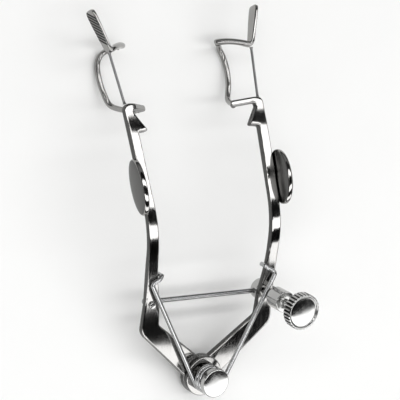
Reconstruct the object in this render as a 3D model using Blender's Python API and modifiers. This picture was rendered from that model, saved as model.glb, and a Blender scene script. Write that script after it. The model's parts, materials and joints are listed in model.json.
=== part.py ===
"""Self-retaining eye speculum with a torsion spring, a cross rod and a thumb-screw lock.

Two forged arms turn on a pivot screw. A coil spring round the screw pushes them apart, and a
cross rod, pinned under the left arm, slides through a swivelling post on the right arm, where
the thumb screw clamps it. Each arm ends in an open wire blade that cradles an eyelid.

The instrument is drawn flat round its pivot axis: X across, Y from the pivot to the blades, Z up
along the pivot. Lengths are metres. The root empty then tips it into its resting position.
"""

import math

import bmesh
import bpy
from mathutils import Matrix, Vector

# Clearances
RUNNING_GAP = 0.00006
SEAT_GAP = 0.00005

# Pivot: two half-lapped knuckles on a headed screw with a round nut below
PIVOT_SHANK_RADIUS = 0.0015
PIVOT_HEAD_RADIUS = 0.00335
PIVOT_HEAD_HEIGHT = 0.0015
PIVOT_NUT_RADIUS = 0.0030
PIVOT_NUT_HEIGHT = 0.0011
KNUCKLE_RADIUS = 0.0046
KNUCKLE_HEIGHT = 0.00145
NUT_SLOT_WIDTH = 0.0007
NUT_SLOT_DEPTH = 0.0004

# Arms, cut from flat stock and then bent down towards the blades
ARM_THICKNESS = 0.0018
ARM_EDGE_ROUNDING = 0.00022
ARM_BEND_START = 0.0294
ARM_BEND_RADIUS = 0.021
ARM_BEND_ANGLE = math.radians(30.0)
LEG_ROOT_X = 0.0016
LEG_ROOT_Y = -0.0025
LEG_TOP_X = 0.0007
LEG_TOP_Y = 0.0040
ELBOW_X = 0.0173
ELBOW_Y = 0.0112
ELBOW_OUTER_RADIUS = 0.0030
ELBOW_INNER_X = 0.0128
ELBOW_INNER_Y = 0.0130
ELBOW_INNER_RADIUS = 0.0009
SHAFT_LENGTH = 0.0631
SHAFT_LOWER_X = 0.0150
SHAFT_LOWER_WIDTH = 0.0038
SHAFT_MIDDLE_X = 0.0160
SHAFT_MIDDLE_WIDTH = 0.0025
SHAFT_END_X = 0.01735
SHAFT_END_WIDTH = 0.0022
BARB_REACH = 0.0026
BARB_DISTANCE = 0.0067
BARB_LENGTH = 0.0046
BARB_HOOK = 0.0003
BARB_TIP_RADIUS = 0.00015
BARB_ROOT_RADIUS = 0.0003
BAND_ROOT_RADIUS = 0.0004

# Near band: the inward end of each arm, curled down to the lid wire
BAND_WIDTH = 0.0014
BAND_INNER_X = 0.0109
BAND_CURL_START = 0.0166
BAND_CURL_RADIUS = 0.0022
BAND_CURL_ANGLE = math.radians(31.0)

# Blade wires and suture posts, in each blade's own frame past the arm's bend
LID_WIRE_RADIUS = 0.00064
LID_WIRE_DEPTH = 0.0095
LID_WIRE_REACH = 0.0172
LID_WIRE_STRAIGHT = 0.0012
GUARD_WIRE_RADIUS = 0.00029
GUARD_WIRE_INSET = 0.0003
BLADE_LENGTH = 0.0125
POST_LENGTH = 0.0088
POST_HEIGHT = 0.0030
POST_THICKNESS = 0.00085
POST_SPLAY = math.radians(18.0)
POST_DROP = 0.0007
POST_OFFSET_X = 0.0018
POST_OFFSET_Y = 0.0008
POST_CORNER_RADIUS = 0.0011
POST_ROOT_SHARE = 0.76
FAR_BAND_HEIGHT = 0.0017
FAR_BAND_INNER_X = 0.0122
FAR_BAND_DROP = 0.0045
FAR_BAND_ADVANCE = 0.0020
FAR_BAND_BOW = 0.0004
SERRATION_COUNT = 9
SERRATION_DEPTH = 0.00026
SERRATION_LEAN = math.radians(40.0)
SERRATED_SHARE = 0.82

# Sizes along the post, from tip to foot, and along the far band, from corner to inner end
POST_TAPER = ((1.0, 0.35), (0.985, 0.68), (0.95, 0.92), (0.88, 1.03), (0.55, 1.0), (0.2, 0.86), (0.05, 0.78))
FAR_BAND_TAPER = ((0.12, 1.0), (0.35, 1.0), (0.6, 1.0), (0.85, 1.0), (0.96, 0.85), (1.0, 0.5))

# The lid wire's floor: steps out, along and up from its reach, its band and its depth
LID_WIRE_NEAR_FLOOR = ((-0.0015, 0.0021, 0.0003), (-0.0004, 0.0055, 0.0), (0.0, 0.0089, 0.0))
LID_WIRE_FAR_FLOOR = ((-0.0003, -0.0026, 0.0), (-0.0015, -0.0006, 0.0008))

# Finger plates
PLATE_LENGTH = 0.0126
PLATE_HEIGHT = 0.0066
PLATE_THICKNESS = 0.0015
PLATE_POSITION = 0.0442
PLATE_RAISE = 0.0012
PLATE_LEAN = math.radians(8.0)
PLATE_EDGE_ROUNDING = 0.0003

# Torsion spring
SPRING_WIRE_RADIUS = 0.0005
SPRING_COIL_RADIUS = 0.0029
SPRING_TURNS = 2
SPRING_COIL_GAP = 0.00006
HOOK_X = 0.0164
HOOK_Y = 0.0230
HOOK_REACH_Y = 0.0016
HOOK_DEPTH = 0.0012
HOOK_LIFT = 0.0001

# Cross rod and its lock
LOCK_X = 0.0157
ROD_PIN_X = 0.0152
LINK_Y = 0.0179
ROD_RADIUS = 0.00056
ROD_DROP = 0.00095
ROD_END_X = 0.0190
ROD_EYE_RADIUS = 0.0009
ROD_EYE_LIP = 0.0001
ROD_PIN_RADIUS = 0.0004
ROD_PIN_HEAD_RADIUS = 0.0008
ROD_PIN_HEAD_HEIGHT = 0.0005
ROD_PIN_PROUD = 0.0001
ROD_PIN_TAIL = 0.0003
ROD_PIN_SLOT = 0.0003
ROD_PIN_SLOT_TURN = math.radians(40.0)
LOCK_BARREL_RADIUS = 0.0024
LOCK_BARREL_HEIGHT = 0.0024
LOCK_NECK_RADIUS = 0.00125
COLLAR_RADIUS = 0.00245
COLLAR_START = 0.0033
COLLAR_HEIGHT = 0.0041
COLLAR_LIP = 0.0004
THUMB_SHANK_RADIUS = 0.00072
THUMB_POINT_RADIUS = 0.00036
THUMB_POINT_LENGTH = 0.0003
THUMB_GAP = 0.0049
THUMB_HEAD_RADIUS = 0.00415
THUMB_HEAD_HEIGHT = 0.0023
THUMB_CHAMFER = 0.0004
THUMB_BOSS_RADIUS = 0.00122
THUMB_BOSS_HEIGHT = 0.0004
THUMB_RIM_WIDTH = 0.0012
THUMB_DISH = 0.00015
KNURL_COUNT = 30
KNURL_DEPTH = 0.00022

RIGHT = 1
LEFT = -1
HALF_ARM = ARM_THICKNESS / 2
FINE_CHAMFER = 0.0002
ROUND_SIDES = 40
SMALL_SIDES = 24


# Scene, collections and materials

def clear_scene():
    for item in list(bpy.data.objects):
        bpy.data.objects.remove(item, do_unlink=True)


def make_collection(name):
    collection = bpy.data.collections.new(name)
    bpy.context.scene.collection.children.link(collection)
    return collection


def steel(name, shade, roughness):
    material = bpy.data.materials.new(name)
    material.use_nodes = True
    shader = material.node_tree.nodes["Principled BSDF"]
    shader.inputs["Base Color"].default_value = (shade, shade, shade * 1.01, 1.0)
    shader.inputs["Metallic"].default_value = 1.0
    shader.inputs["Roughness"].default_value = roughness
    return material


clear_scene()
PARTS = make_collection("eye_speculum")
CUTTERS = make_collection("cutters")


def add_object(name, data, parent, location=(0.0, 0.0, 0.0), rotation=(0.0, 0.0, 0.0), shade=0.62):
    item = bpy.data.objects.new(name, data)
    PARTS.objects.link(item)
    item.parent = parent
    item.location = location
    item.rotation_euler = rotation
    data.materials.append(steel(name + "_steel", shade, 0.16))
    return item


def add_empty(name, parent=None, location=(0.0, 0.0, 0.0), rotation=(0.0, 0.0, 0.0)):
    item = bpy.data.objects.new(name, None)
    item.empty_display_size = 0.004
    PARTS.objects.link(item)
    item.parent = parent
    item.location = location
    item.rotation_euler = rotation
    return item


def add_cutter(name, mesh, parent, location=(0.0, 0.0, 0.0), rotation=(0.0, 0.0, 0.0)):
    item = bpy.data.objects.new(name, mesh)
    CUTTERS.objects.link(item)
    item.parent = parent
    item.location = location
    item.rotation_euler = rotation
    item.hide_render = True
    item.display_type = "WIRE"
    return item


def boolean(item, tool, operation="DIFFERENCE"):
    modifier = item.modifiers.new(tool.name, "BOOLEAN")
    modifier.operation = operation
    modifier.solver = "EXACT"
    modifier.object = tool


def round_edges(item, width, segments=2, angle=50.0):
    modifier = item.modifiers.new("edges", "BEVEL")
    modifier.width = width
    modifier.segments = segments
    modifier.limit_method = "ANGLE"
    modifier.angle_limit = math.radians(angle)


# Mesh makers

def mesh_from(bm, name):
    mesh = bpy.data.meshes.new(name)
    bm.normal_update()
    bm.to_mesh(mesh)
    bm.free()
    return mesh


def cylinder(name, radius, low, high, sides=ROUND_SIDES, axis="Z", scale=(1.0, 1.0)):
    """A round bar between two heights on its axis, scaled across for an oval."""
    bm = bmesh.new()
    bmesh.ops.create_cone(
        bm, cap_ends=True, segments=sides, radius1=radius, radius2=radius, depth=high - low)
    bmesh.ops.translate(bm, verts=bm.verts, vec=(0.0, 0.0, (low + high) / 2))
    bmesh.ops.scale(bm, verts=bm.verts, vec=(scale[0], scale[1], 1.0))
    if axis == "X":
        bmesh.ops.rotate(bm, verts=bm.verts, matrix=Matrix.Rotation(math.pi / 2, 3, "Y"))
    return mesh_from(bm, name)


def box(name, size, centre=(0.0, 0.0, 0.0)):
    bm = bmesh.new()
    bmesh.ops.create_cube(bm, size=1.0)
    bmesh.ops.scale(bm, verts=bm.verts, vec=size)
    bmesh.ops.translate(bm, verts=bm.verts, vec=centre)
    return mesh_from(bm, name)


def turned(name, profile, sides=ROUND_SIDES):
    """A turned piece from its half profile, given as (radius, height) from the top down."""
    bm = bmesh.new()
    points = [bm.verts.new((radius, 0.0, height)) for radius, height in profile]
    edges = [bm.edges.new(pair) for pair in zip(points, points[1:])]
    bmesh.ops.spin(
        bm, geom=points + edges, cent=(0, 0, 0), axis=(0, 0, 1), angle=2 * math.pi, steps=sides)
    bmesh.ops.remove_doubles(bm, verts=bm.verts, dist=1e-7)
    bmesh.ops.recalc_face_normals(bm, faces=bm.faces)
    return mesh_from(bm, name)


def filleted(corners, steps=5):
    """Points of a closed outline whose corners (x, y, radius) are rounded with arcs."""
    points = []
    count = len(corners)
    for index, (x, y, radius) in enumerate(corners):
        here = Vector((x, y))
        to_last = (Vector(corners[index - 1][:2]) - here).normalized()
        to_next = (Vector(corners[(index + 1) % count][:2]) - here).normalized()
        half_angle = to_last.angle(to_next) / 2
        if radius <= 0.0 or half_angle > math.radians(89.0):
            points.append(here)
            continue
        centre = here + (to_last + to_next).normalized() * (radius / math.sin(half_angle))
        start = here + to_last * (radius / math.tan(half_angle)) - centre
        end = here + to_next * (radius / math.tan(half_angle)) - centre
        sweep = start.angle_signed(end)
        for step in range(steps + 1):
            turn = Matrix.Rotation(-sweep * step / steps, 2)
            points.append(centre + turn @ start)
    return points


def flat_outline(name, points, low, high):
    """A flat plate from its outline: a filled 2D curve, extruded by half its thickness."""
    curve = bpy.data.curves.new(name + "_outline", "CURVE")
    curve.dimensions = "2D"
    curve.fill_mode = "BOTH"
    curve.extrude = (high - low) / 2
    spline = curve.splines.new("POLY")
    spline.points.add(len(points) - 1)
    for point, place in zip(spline.points, points):
        point.co = (place[0], place[1], 0.0, 1.0)
    spline.use_cyclic_u = True
    item = bpy.data.objects.new(name + "_outline", curve)
    bpy.context.scene.collection.objects.link(item)
    bpy.context.view_layer.update()
    graph = bpy.context.evaluated_depsgraph_get()
    mesh = bpy.data.meshes.new_from_object(item.evaluated_get(graph))
    bpy.data.objects.remove(item, do_unlink=True)
    bm = bmesh.new()
    bm.from_mesh(mesh)
    bmesh.ops.remove_doubles(bm, verts=bm.verts, dist=1e-6)
    bmesh.ops.dissolve_limit(bm, angle_limit=0.01, verts=bm.verts, edges=bm.edges)
    bmesh.ops.translate(bm, verts=bm.verts, vec=(0.0, 0.0, (low + high) / 2))
    return bm


def slice_across(bm, axis, positions, keep=None):
    """Cut a mesh across an axis so that it can be bent there."""
    for position in positions:
        faces = [face for face in bm.faces if keep is None or keep(face.calc_center_median())]
        geometry = list({vert for face in faces for vert in face.verts})
        geometry += list({edge for face in faces for edge in face.edges}) + faces
        place = Vector((position, 0, 0)) if axis == "X" else Vector((0, position, 0))
        normal = Vector((1, 0, 0)) if axis == "X" else Vector((0, 1, 0))
        bmesh.ops.bisect_plane(bm, geom=geometry, dist=1e-7, plane_co=place, plane_no=normal)


def bent(distance, height, start, radius, angle):
    """Where a point of flat stock goes when the stock is bent down past a start distance."""
    run = distance - start
    if run <= 0.0:
        return distance, height
    turn = min(run / radius, angle)
    rest = run - turn * radius
    along = start + (radius + height) * math.sin(turn) + rest * math.cos(turn)
    up = -radius + (radius + height) * math.cos(turn) - rest * math.sin(turn)
    return along, up


def mirrored(mesh):
    """The left-hand copy of a right-hand mesh."""
    bm = bmesh.new()
    bm.from_mesh(mesh)
    bmesh.ops.scale(bm, verts=bm.verts, vec=(-1.0, 1.0, 1.0))
    bmesh.ops.reverse_faces(bm, faces=bm.faces)
    return mesh_from(bm, mesh.name + "_mirrored")


def sided(mesh, side):
    return mesh if side == RIGHT else mirrored(mesh)


def smooth_path(points, steps):
    """Points on a smooth curve through the given ones."""
    ends = [2 * points[0] - points[1]] + list(points) + [2 * points[-1] - points[-2]]
    path = []
    for a, b, c, d in zip(ends, ends[1:], ends[2:], ends[3:]):
        for step in range(steps):
            t = step / steps
            path.append(0.5 * (2 * b + (c - a) * t + (2 * a - 5 * b + 4 * c - d) * t * t
                               + (3 * b - a - 3 * c + d) * t ** 3))
    path.append(points[-1].copy())
    return path


def wire(name, path, radius, parent, shade=0.7):
    """A round wire along a path, with closed ends."""
    curve = bpy.data.curves.new(name, "CURVE")
    curve.dimensions = "3D"
    curve.bevel_depth = radius
    curve.bevel_resolution = 2
    curve.use_fill_caps = True
    spline = curve.splines.new("POLY")
    spline.points.add(len(path) - 1)
    for point, place in zip(spline.points, path):
        point.co = (*place, 1.0)
    return add_object(name, curve, parent, shade=shade)


def lofted(name, sections):
    """A bar through a row of eight-sided sections, with flat ends."""
    bm = bmesh.new()
    rings = [[bm.verts.new(place) for place in section] for section in sections]
    for low, high in zip(rings, rings[1:]):
        for index in range(len(low)):
            after = (index + 1) % len(low)
            bm.faces.new((low[index], low[after], high[after], high[index]))
    bm.faces.new(list(reversed(rings[0])))
    bm.faces.new(rings[-1])
    bmesh.ops.recalc_face_normals(bm, faces=bm.faces)
    return mesh_from(bm, name)


def bar_section(centre, across, up, thickness, height):
    """An eight-sided section: a rectangle with cut corners."""
    half_thickness = thickness / 2
    half_height = height / 2
    cut = 0.28 * min(thickness, height)
    outline = [
        (half_thickness, half_height - cut), (half_thickness - cut, half_height),
        (cut - half_thickness, half_height), (-half_thickness, half_height - cut),
        (-half_thickness, cut - half_height), (cut - half_thickness, -half_height),
        (half_thickness - cut, -half_height), (half_thickness, cut - half_height),
    ]
    return [centre + across * x + up * z for x, z in outline]


# Arms

BLADE_FRAME_START = ARM_BEND_START + ARM_BEND_RADIUS * ARM_BEND_ANGLE
BLADE_FRAME_Y, BLADE_FRAME_Z = bent(
    BLADE_FRAME_START, 0.0, ARM_BEND_START, ARM_BEND_RADIUS, ARM_BEND_ANGLE)
BAND_TOP_Y = SHAFT_LENGTH - BLADE_FRAME_START
BAND_CENTRE_Y = BAND_TOP_Y - BAND_WIDTH / 2


def shaft_edge(distance, side):
    """The X of a shaft's inner (-1) or outer (+1) edge at a distance along the flat stock."""
    lower = LINK_Y
    middle = ARM_BEND_START
    if distance < middle:
        share = (distance - lower) / (middle - lower)
        centre = SHAFT_LOWER_X + (SHAFT_MIDDLE_X - SHAFT_LOWER_X) * math.sin(share * math.pi / 2)
        width = SHAFT_MIDDLE_WIDTH + (SHAFT_LOWER_WIDTH - SHAFT_MIDDLE_WIDTH) * (1 - share) ** 2
    else:
        share = (distance - middle) / (SHAFT_LENGTH - middle)
        centre = SHAFT_MIDDLE_X + (SHAFT_END_X - SHAFT_MIDDLE_X) * share
        width = SHAFT_MIDDLE_WIDTH + (SHAFT_END_WIDTH - SHAFT_MIDDLE_WIDTH) * share
    return centre + side * width / 2


def arm_outline():
    """The flat shape of a right arm: leg, elbow, shaft, barb and near band."""
    band_low = SHAFT_LENGTH - BAND_WIDTH
    barb_y = SHAFT_LENGTH - BARB_DISTANCE
    stations = [LINK_Y + (barb_y - LINK_Y) * step / 12 for step in range(13)]
    corners = [(LEG_ROOT_X, LEG_ROOT_Y, 0.0), (ELBOW_X, ELBOW_Y, ELBOW_OUTER_RADIUS)]
    corners += [(shaft_edge(y, 1), y, 0.0) for y in stations]
    corners += [(shaft_edge(SHAFT_LENGTH, 1), SHAFT_LENGTH, BAND_WIDTH)]
    end_radius = BAND_WIDTH * 0.45
    corners += [(BAND_INNER_X, SHAFT_LENGTH, end_radius), (BAND_INNER_X, band_low, end_radius)]
    notch_x = shaft_edge(band_low, -1)
    corners += [(notch_x, band_low, BAND_ROOT_RADIUS)]
    corners += [(notch_x, barb_y + BARB_LENGTH, 0.0)]
    corners += [(shaft_edge(barb_y, -1) - BARB_REACH, barb_y + BARB_HOOK, BARB_TIP_RADIUS)]
    corners += [(shaft_edge(barb_y, -1), barb_y, BARB_ROOT_RADIUS)]
    corners += [(shaft_edge(y, -1), y, 0.0) for y in reversed(stations[:-1])]
    corners += [(ELBOW_INNER_X, ELBOW_INNER_Y, ELBOW_INNER_RADIUS)]
    corners += [(LEG_TOP_X, LEG_TOP_Y, 0.0)]
    return filleted(corners)


def bend_arm(bm):
    """Bend the flat stock down past the shaft's middle and curl the near band."""
    bend_length = ARM_BEND_RADIUS * ARM_BEND_ANGLE
    slice_across(bm, "Y", [ARM_BEND_START + bend_length * step / 9 for step in range(10)])
    curl_length = BAND_CURL_RADIUS * BAND_CURL_ANGLE
    curl_steps = [BAND_CURL_START - curl_length * step / 3 for step in range(4)]
    band_low = SHAFT_LENGTH - BAND_WIDTH
    slice_across(bm, "Y", [band_low])
    slice_across(bm, "X", curl_steps, keep=lambda centre: centre.y > band_low)
    for vert in bm.verts:
        x, y, z = vert.co
        if y > band_low - 1e-6 and x < BAND_CURL_START:
            inward, z = bent(-x, z, -BAND_CURL_START, BAND_CURL_RADIUS, BAND_CURL_ANGLE)
            x = -inward
        along, up = bent(y, z, ARM_BEND_START, ARM_BEND_RADIUS, ARM_BEND_ANGLE)
        vert.co = (x, along, up)


def make_arm(side, parent):
    name = "right_arm" if side == RIGHT else "left_arm"
    bm = flat_outline(name, arm_outline(), -HALF_ARM, HALF_ARM)
    bend_arm(bm)
    arm = add_object(name, sided(mesh_from(bm, name), side), parent, shade=0.66)
    round_edges(arm, ARM_EDGE_ROUNDING)
    split = side * RUNNING_GAP / 2
    outer = side * KNUCKLE_HEIGHT
    far_side = -side * 2 * KNUCKLE_HEIGHT
    knuckle = cylinder(name + "_knuckle", KNUCKLE_RADIUS, min(split, outer), max(split, outer))
    clear_radius = KNUCKLE_RADIUS + 2 * RUNNING_GAP
    recess = cylinder(name + "_recess", clear_radius, min(split, far_side), max(split, far_side))
    bore_radius = PIVOT_SHANK_RADIUS + RUNNING_GAP
    bore = cylinder(name + "_bore", bore_radius, -2 * KNUCKLE_HEIGHT, 2 * KNUCKLE_HEIGHT)
    boolean(arm, add_cutter(recess.name, recess, parent))
    boolean(arm, add_cutter(knuckle.name, knuckle, parent), "UNION")
    boolean(arm, add_cutter(bore.name, bore, parent))
    return arm


# Blades

POST_FOOT = Vector((SHAFT_END_X + POST_OFFSET_X, BAND_TOP_Y + BLADE_LENGTH + POST_OFFSET_Y, -POST_DROP))
POST_DIRECTION = Vector((math.sin(POST_SPLAY), math.cos(POST_SPLAY), 0.0))
POST_ACROSS = Vector((math.cos(POST_SPLAY), -math.sin(POST_SPLAY), 0.0))
CORNER_CENTRE = POST_FOOT - POST_ACROSS * POST_CORNER_RADIUS
FAR_BAND_START = CORNER_CENTRE + Vector((0, -POST_CORNER_RADIUS, 0))
FAR_BAND_RUN = FAR_BAND_START.x - FAR_BAND_INNER_X
FAR_BAND_SLOPE = math.atan2(FAR_BAND_DROP, FAR_BAND_RUN)
FAR_BAND_UP = Vector((-math.sin(FAR_BAND_SLOPE), 0.0, math.cos(FAR_BAND_SLOPE)))


def far_band_centre(share):
    """The middle of the far band, from the post's corner (0) to its inner end (1)."""
    advance = FAR_BAND_ADVANCE * share + FAR_BAND_BOW * math.sin(math.pi * share)
    return FAR_BAND_START + Vector((-FAR_BAND_RUN * share, advance, -FAR_BAND_DROP * share ** 1.15))


def make_lid_wire(side, parent):
    """The thick wire under the lid, from the near band's end to the far band's end."""
    curl_run = BAND_CURL_START - BAND_INNER_X - BAND_WIDTH / 2
    inward, drop = bent(curl_run, -HALF_ARM - SEAT_GAP, 0.0, BAND_CURL_RADIUS, BAND_CURL_ANGLE)
    near = Vector((BAND_CURL_START - inward, BAND_CENTRE_Y, drop))
    near_down = Vector((math.sin(BAND_CURL_ANGLE), 0.0, -math.cos(BAND_CURL_ANGLE)))
    far = far_band_centre(0.9) - FAR_BAND_UP * (FAR_BAND_HEIGHT / 2 + SEAT_GAP)
    near_floor = Vector((LID_WIRE_REACH, BAND_TOP_Y, -LID_WIRE_DEPTH))
    far_floor = Vector((LID_WIRE_REACH, far.y, -LID_WIRE_DEPTH))
    points = [near, near + near_down * LID_WIRE_STRAIGHT]
    points += [near + near_down * (2.5 * LID_WIRE_STRAIGHT) + Vector((0, LID_WIRE_RADIUS, 0))]
    points += [near_floor + Vector(step) for step in LID_WIRE_NEAR_FLOOR]
    points += [far_floor + Vector(step) for step in LID_WIRE_FAR_FLOOR]
    points += [far - FAR_BAND_UP * LID_WIRE_STRAIGHT, far]
    path = [Vector((side * place.x, place.y, place.z)) for place in smooth_path(points, 5)]
    name = "right_lid_wire" if side == RIGHT else "left_lid_wire"
    return wire(name, path, LID_WIRE_RADIUS, parent)


def make_guard_wire(side, parent):
    """The thin straight wire from the arm's end to the foot of the suture post."""
    near = Vector((side * (SHAFT_END_X + GUARD_WIRE_INSET), BAND_TOP_Y + SEAT_GAP, -GUARD_WIRE_INSET))
    far_y = FAR_BAND_START.y - BAND_WIDTH / 2 - SEAT_GAP
    far = Vector((side * (POST_FOOT.x - GUARD_WIRE_INSET), far_y, POST_FOOT.z))
    name = "right_guard_wire" if side == RIGHT else "left_guard_wire"
    return wire(name, [near, near.lerp(far, 0.5), far], GUARD_WIRE_RADIUS, parent)


def suture_post_sections():
    """Sections of a right suture post, from its tip down and round into the far band."""
    up = Vector((0, 0, 1))
    sections = []
    for share, size in POST_TAPER:
        centre = POST_FOOT + POST_DIRECTION * (POST_LENGTH * share)
        sections.append(bar_section(centre, POST_ACROSS, up, POST_THICKNESS, POST_HEIGHT * size))
    for step in range(1, 4):
        share = step / 4
        across = Matrix.Rotation(-(math.pi / 2 - POST_SPLAY) * share, 3, "Z") @ POST_ACROSS
        height = POST_HEIGHT * POST_ROOT_SHARE * (1 - share) + FAR_BAND_HEIGHT * share
        thickness = POST_THICKNESS * (1 - share) + BAND_WIDTH * share
        centre = CORNER_CENTRE + across * POST_CORNER_RADIUS
        sections.append(bar_section(centre, across, up, thickness, height))
    across = Vector((0, -1, 0))
    for share, size in FAR_BAND_TAPER:
        centre = far_band_centre(share)
        width = BAND_WIDTH * size
        sections.append(bar_section(centre, across, FAR_BAND_UP, width, FAR_BAND_HEIGHT * size))
    return sections


def make_suture_post(side, parent):
    name = "right_suture_post" if side == RIGHT else "left_suture_post"
    post = add_object(name, sided(lofted(name, suture_post_sections()), side), parent, shade=0.64)
    spacing = POST_LENGTH * SERRATED_SHARE / SERRATION_COUNT
    axes = Matrix((POST_ACROSS, POST_DIRECTION, Vector((0, 0, 1)))).transposed()
    turn = axes @ Matrix.Rotation(SERRATION_LEAN, 3, "X")
    outer_face = POST_FOOT + POST_ACROSS * (POST_THICKNESS / 2)
    bm = bmesh.new()
    for index in range(SERRATION_COUNT):
        centre = outer_face + POST_DIRECTION * (spacing * (index + 1.2))
        groove = bmesh.ops.create_cone(
            bm, cap_ends=True, segments=4, radius1=SERRATION_DEPTH, radius2=SERRATION_DEPTH,
            depth=2 * POST_HEIGHT)
        bmesh.ops.rotate(bm, verts=groove["verts"], matrix=turn)
        bmesh.ops.translate(bm, verts=groove["verts"], vec=centre)
    grooves = add_cutter(name + "_grooves", sided(mesh_from(bm, name + "_grooves"), side), parent)
    boolean(post, grooves)
    return post


# Finger plates

def make_finger_plate(side, parent):
    """An oval plate brazed on the shaft's outer side, leaning out at its top."""
    name = "right_finger_plate" if side == RIGHT else "left_finger_plate"
    oval = (PLATE_HEIGHT / 2, PLATE_LENGTH / 2)
    bm = bmesh.new()
    bm.from_mesh(cylinder(name, 1.0, 0.0, PLATE_THICKNESS, 36, scale=oval))
    edge_rise = shaft_edge(SHAFT_LENGTH, 1) - shaft_edge(ARM_BEND_START, 1)
    edge_turn = math.atan2(edge_rise, SHAFT_LENGTH - ARM_BEND_START)
    stand = Matrix.Rotation(math.pi, 3, "X") @ Matrix.Rotation(math.pi / 2 - PLATE_LEAN, 3, "Y")
    bmesh.ops.rotate(bm, verts=bm.verts, matrix=Matrix.Rotation(-edge_turn, 3, "Z") @ stand)
    stand_off = SEAT_GAP + (HALF_ARM + PLATE_RAISE) * math.tan(PLATE_LEAN)
    place = (shaft_edge(PLATE_POSITION, 1) + stand_off, PLATE_POSITION - BLADE_FRAME_START, PLATE_RAISE)
    bmesh.ops.translate(bm, verts=bm.verts, vec=place)
    plate = add_object(name, sided(mesh_from(bm, name), side), parent, shade=0.6)
    round_edges(plate, PLATE_EDGE_ROUNDING)
    return plate


# Pivot screw and nut

COIL_LOW = KNUCKLE_HEIGHT + SEAT_GAP + SPRING_WIRE_RADIUS
COIL_PITCH = 2 * SPRING_WIRE_RADIUS + SPRING_COIL_GAP


def leg_angle():
    """The coil angle where a straight leg from a hook meets the coil at a tangent."""
    reach = math.hypot(HOOK_X, HOOK_Y)
    return math.atan2(HOOK_Y, HOOK_X) - math.acos(SPRING_COIL_RADIUS / reach)


COIL_START = math.pi - leg_angle()
COIL_SWEEP = 2 * math.pi * SPRING_TURNS + (2 * math.pi + leg_angle() - COIL_START)
COIL_HIGH = COIL_LOW + COIL_PITCH * COIL_SWEEP / (2 * math.pi)
HEAD_SEAT = COIL_HIGH + SPRING_WIRE_RADIUS + SEAT_GAP
NUT_TOP = -KNUCKLE_HEIGHT - SEAT_GAP


def make_pivot_screw(parent):
    top = HEAD_SEAT + PIVOT_HEAD_HEIGHT
    end = NUT_TOP - PIVOT_NUT_HEIGHT
    profile = [
        (0.0, top), (PIVOT_HEAD_RADIUS - FINE_CHAMFER, top), (PIVOT_HEAD_RADIUS, top - FINE_CHAMFER),
        (PIVOT_HEAD_RADIUS, HEAD_SEAT + FINE_CHAMFER), (PIVOT_HEAD_RADIUS - FINE_CHAMFER, HEAD_SEAT),
        (PIVOT_SHANK_RADIUS, HEAD_SEAT), (PIVOT_SHANK_RADIUS, end + FINE_CHAMFER),
        (PIVOT_SHANK_RADIUS - FINE_CHAMFER, end), (0.0, end),
    ]
    return add_object("pivot_screw", turned("pivot_screw", profile, 48), parent, shade=0.7)


def make_pivot_nut(parent):
    low = NUT_TOP - PIVOT_NUT_HEIGHT
    inner = PIVOT_SHANK_RADIUS + SEAT_GAP
    profile = [
        (inner, NUT_TOP), (PIVOT_NUT_RADIUS, NUT_TOP), (PIVOT_NUT_RADIUS, low + FINE_CHAMFER),
        (PIVOT_NUT_RADIUS - FINE_CHAMFER, low), (inner, low), (inner, NUT_TOP),
    ]
    nut = add_object("pivot_nut", turned("pivot_nut", profile), parent, shade=0.55)
    slot_size = (3 * PIVOT_NUT_RADIUS, NUT_SLOT_WIDTH, 2 * NUT_SLOT_DEPTH)
    boolean(nut, add_cutter("nut_slot", box("nut_slot", slot_size, (0, 0, low)), parent))
    return nut


# Torsion spring

def spring_leg(side, coil_height):
    """Points of one leg, from the coil to the tip that turns down inside the arm."""
    angle = leg_angle() if side == RIGHT else math.pi - leg_angle()
    root = Vector((SPRING_COIL_RADIUS * math.cos(angle), SPRING_COIL_RADIUS * math.sin(angle), coil_height))
    over_arm = HALF_ARM + SEAT_GAP + SPRING_WIRE_RADIUS
    turn = 2 * SPRING_WIRE_RADIUS
    bend = Vector((side * HOOK_X, HOOK_Y, over_arm + HOOK_LIFT))
    tip_y = HOOK_Y + HOOK_REACH_Y
    tip_x = shaft_edge(tip_y - turn, -1) - SPRING_WIRE_RADIUS - SEAT_GAP
    edge = Vector((side * (tip_x + 0.6 * turn), tip_y - 0.5 * turn, over_arm))
    down = Vector((side * tip_x, tip_y, over_arm - 0.8 * turn))
    tip = Vector((side * tip_x, tip_y, over_arm - turn - HOOK_DEPTH))
    before = bend.lerp(root, turn / (bend - root).length)
    after = bend.lerp(edge, 0.35)
    points = [root.lerp(before, step / 6) for step in range(1, 6)]
    hook = [before, bend + (before + after - 2 * bend) * 0.25, after, edge.lerp(after, 0.3)]
    hook += [edge + Vector((0, 0, -0.12 * turn)), down + Vector((0, 0, 0.25 * turn)), down, tip]
    return points + hook


def make_spring(parent):
    turns = COIL_SWEEP / (2 * math.pi)
    count = round(turns * 18)
    coil = []
    for step in range(count + 1):
        angle = COIL_START + COIL_SWEEP * step / count
        height = COIL_LOW + (COIL_HIGH - COIL_LOW) * step / count
        x = SPRING_COIL_RADIUS * math.cos(angle)
        y = SPRING_COIL_RADIUS * math.sin(angle)
        coil.append(Vector((x, y, height)))
    left = list(reversed(spring_leg(LEFT, COIL_LOW)))
    right = spring_leg(RIGHT, COIL_HIGH)
    return wire("torsion_spring", left + coil + right, SPRING_WIRE_RADIUS, parent, shade=0.75)


# Cross rod, its pin and the lock post

ROD_HEIGHT = -HALF_ARM - ROD_DROP
BARREL_TOP = -HALF_ARM - RUNNING_GAP
BARREL_LOW = BARREL_TOP - LOCK_BARREL_HEIGHT
COLLAR_TOP = COLLAR_START + COLLAR_HEIGHT
NECK_TOP = COLLAR_TOP - COLLAR_LIP
THUMB_BORE = THUMB_SHANK_RADIUS + RUNNING_GAP
PIN_PLACE = (-ROD_PIN_X, LINK_Y, 0.0)
LOCK_PLACE = (LOCK_X, LINK_Y, 0.0)


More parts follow.
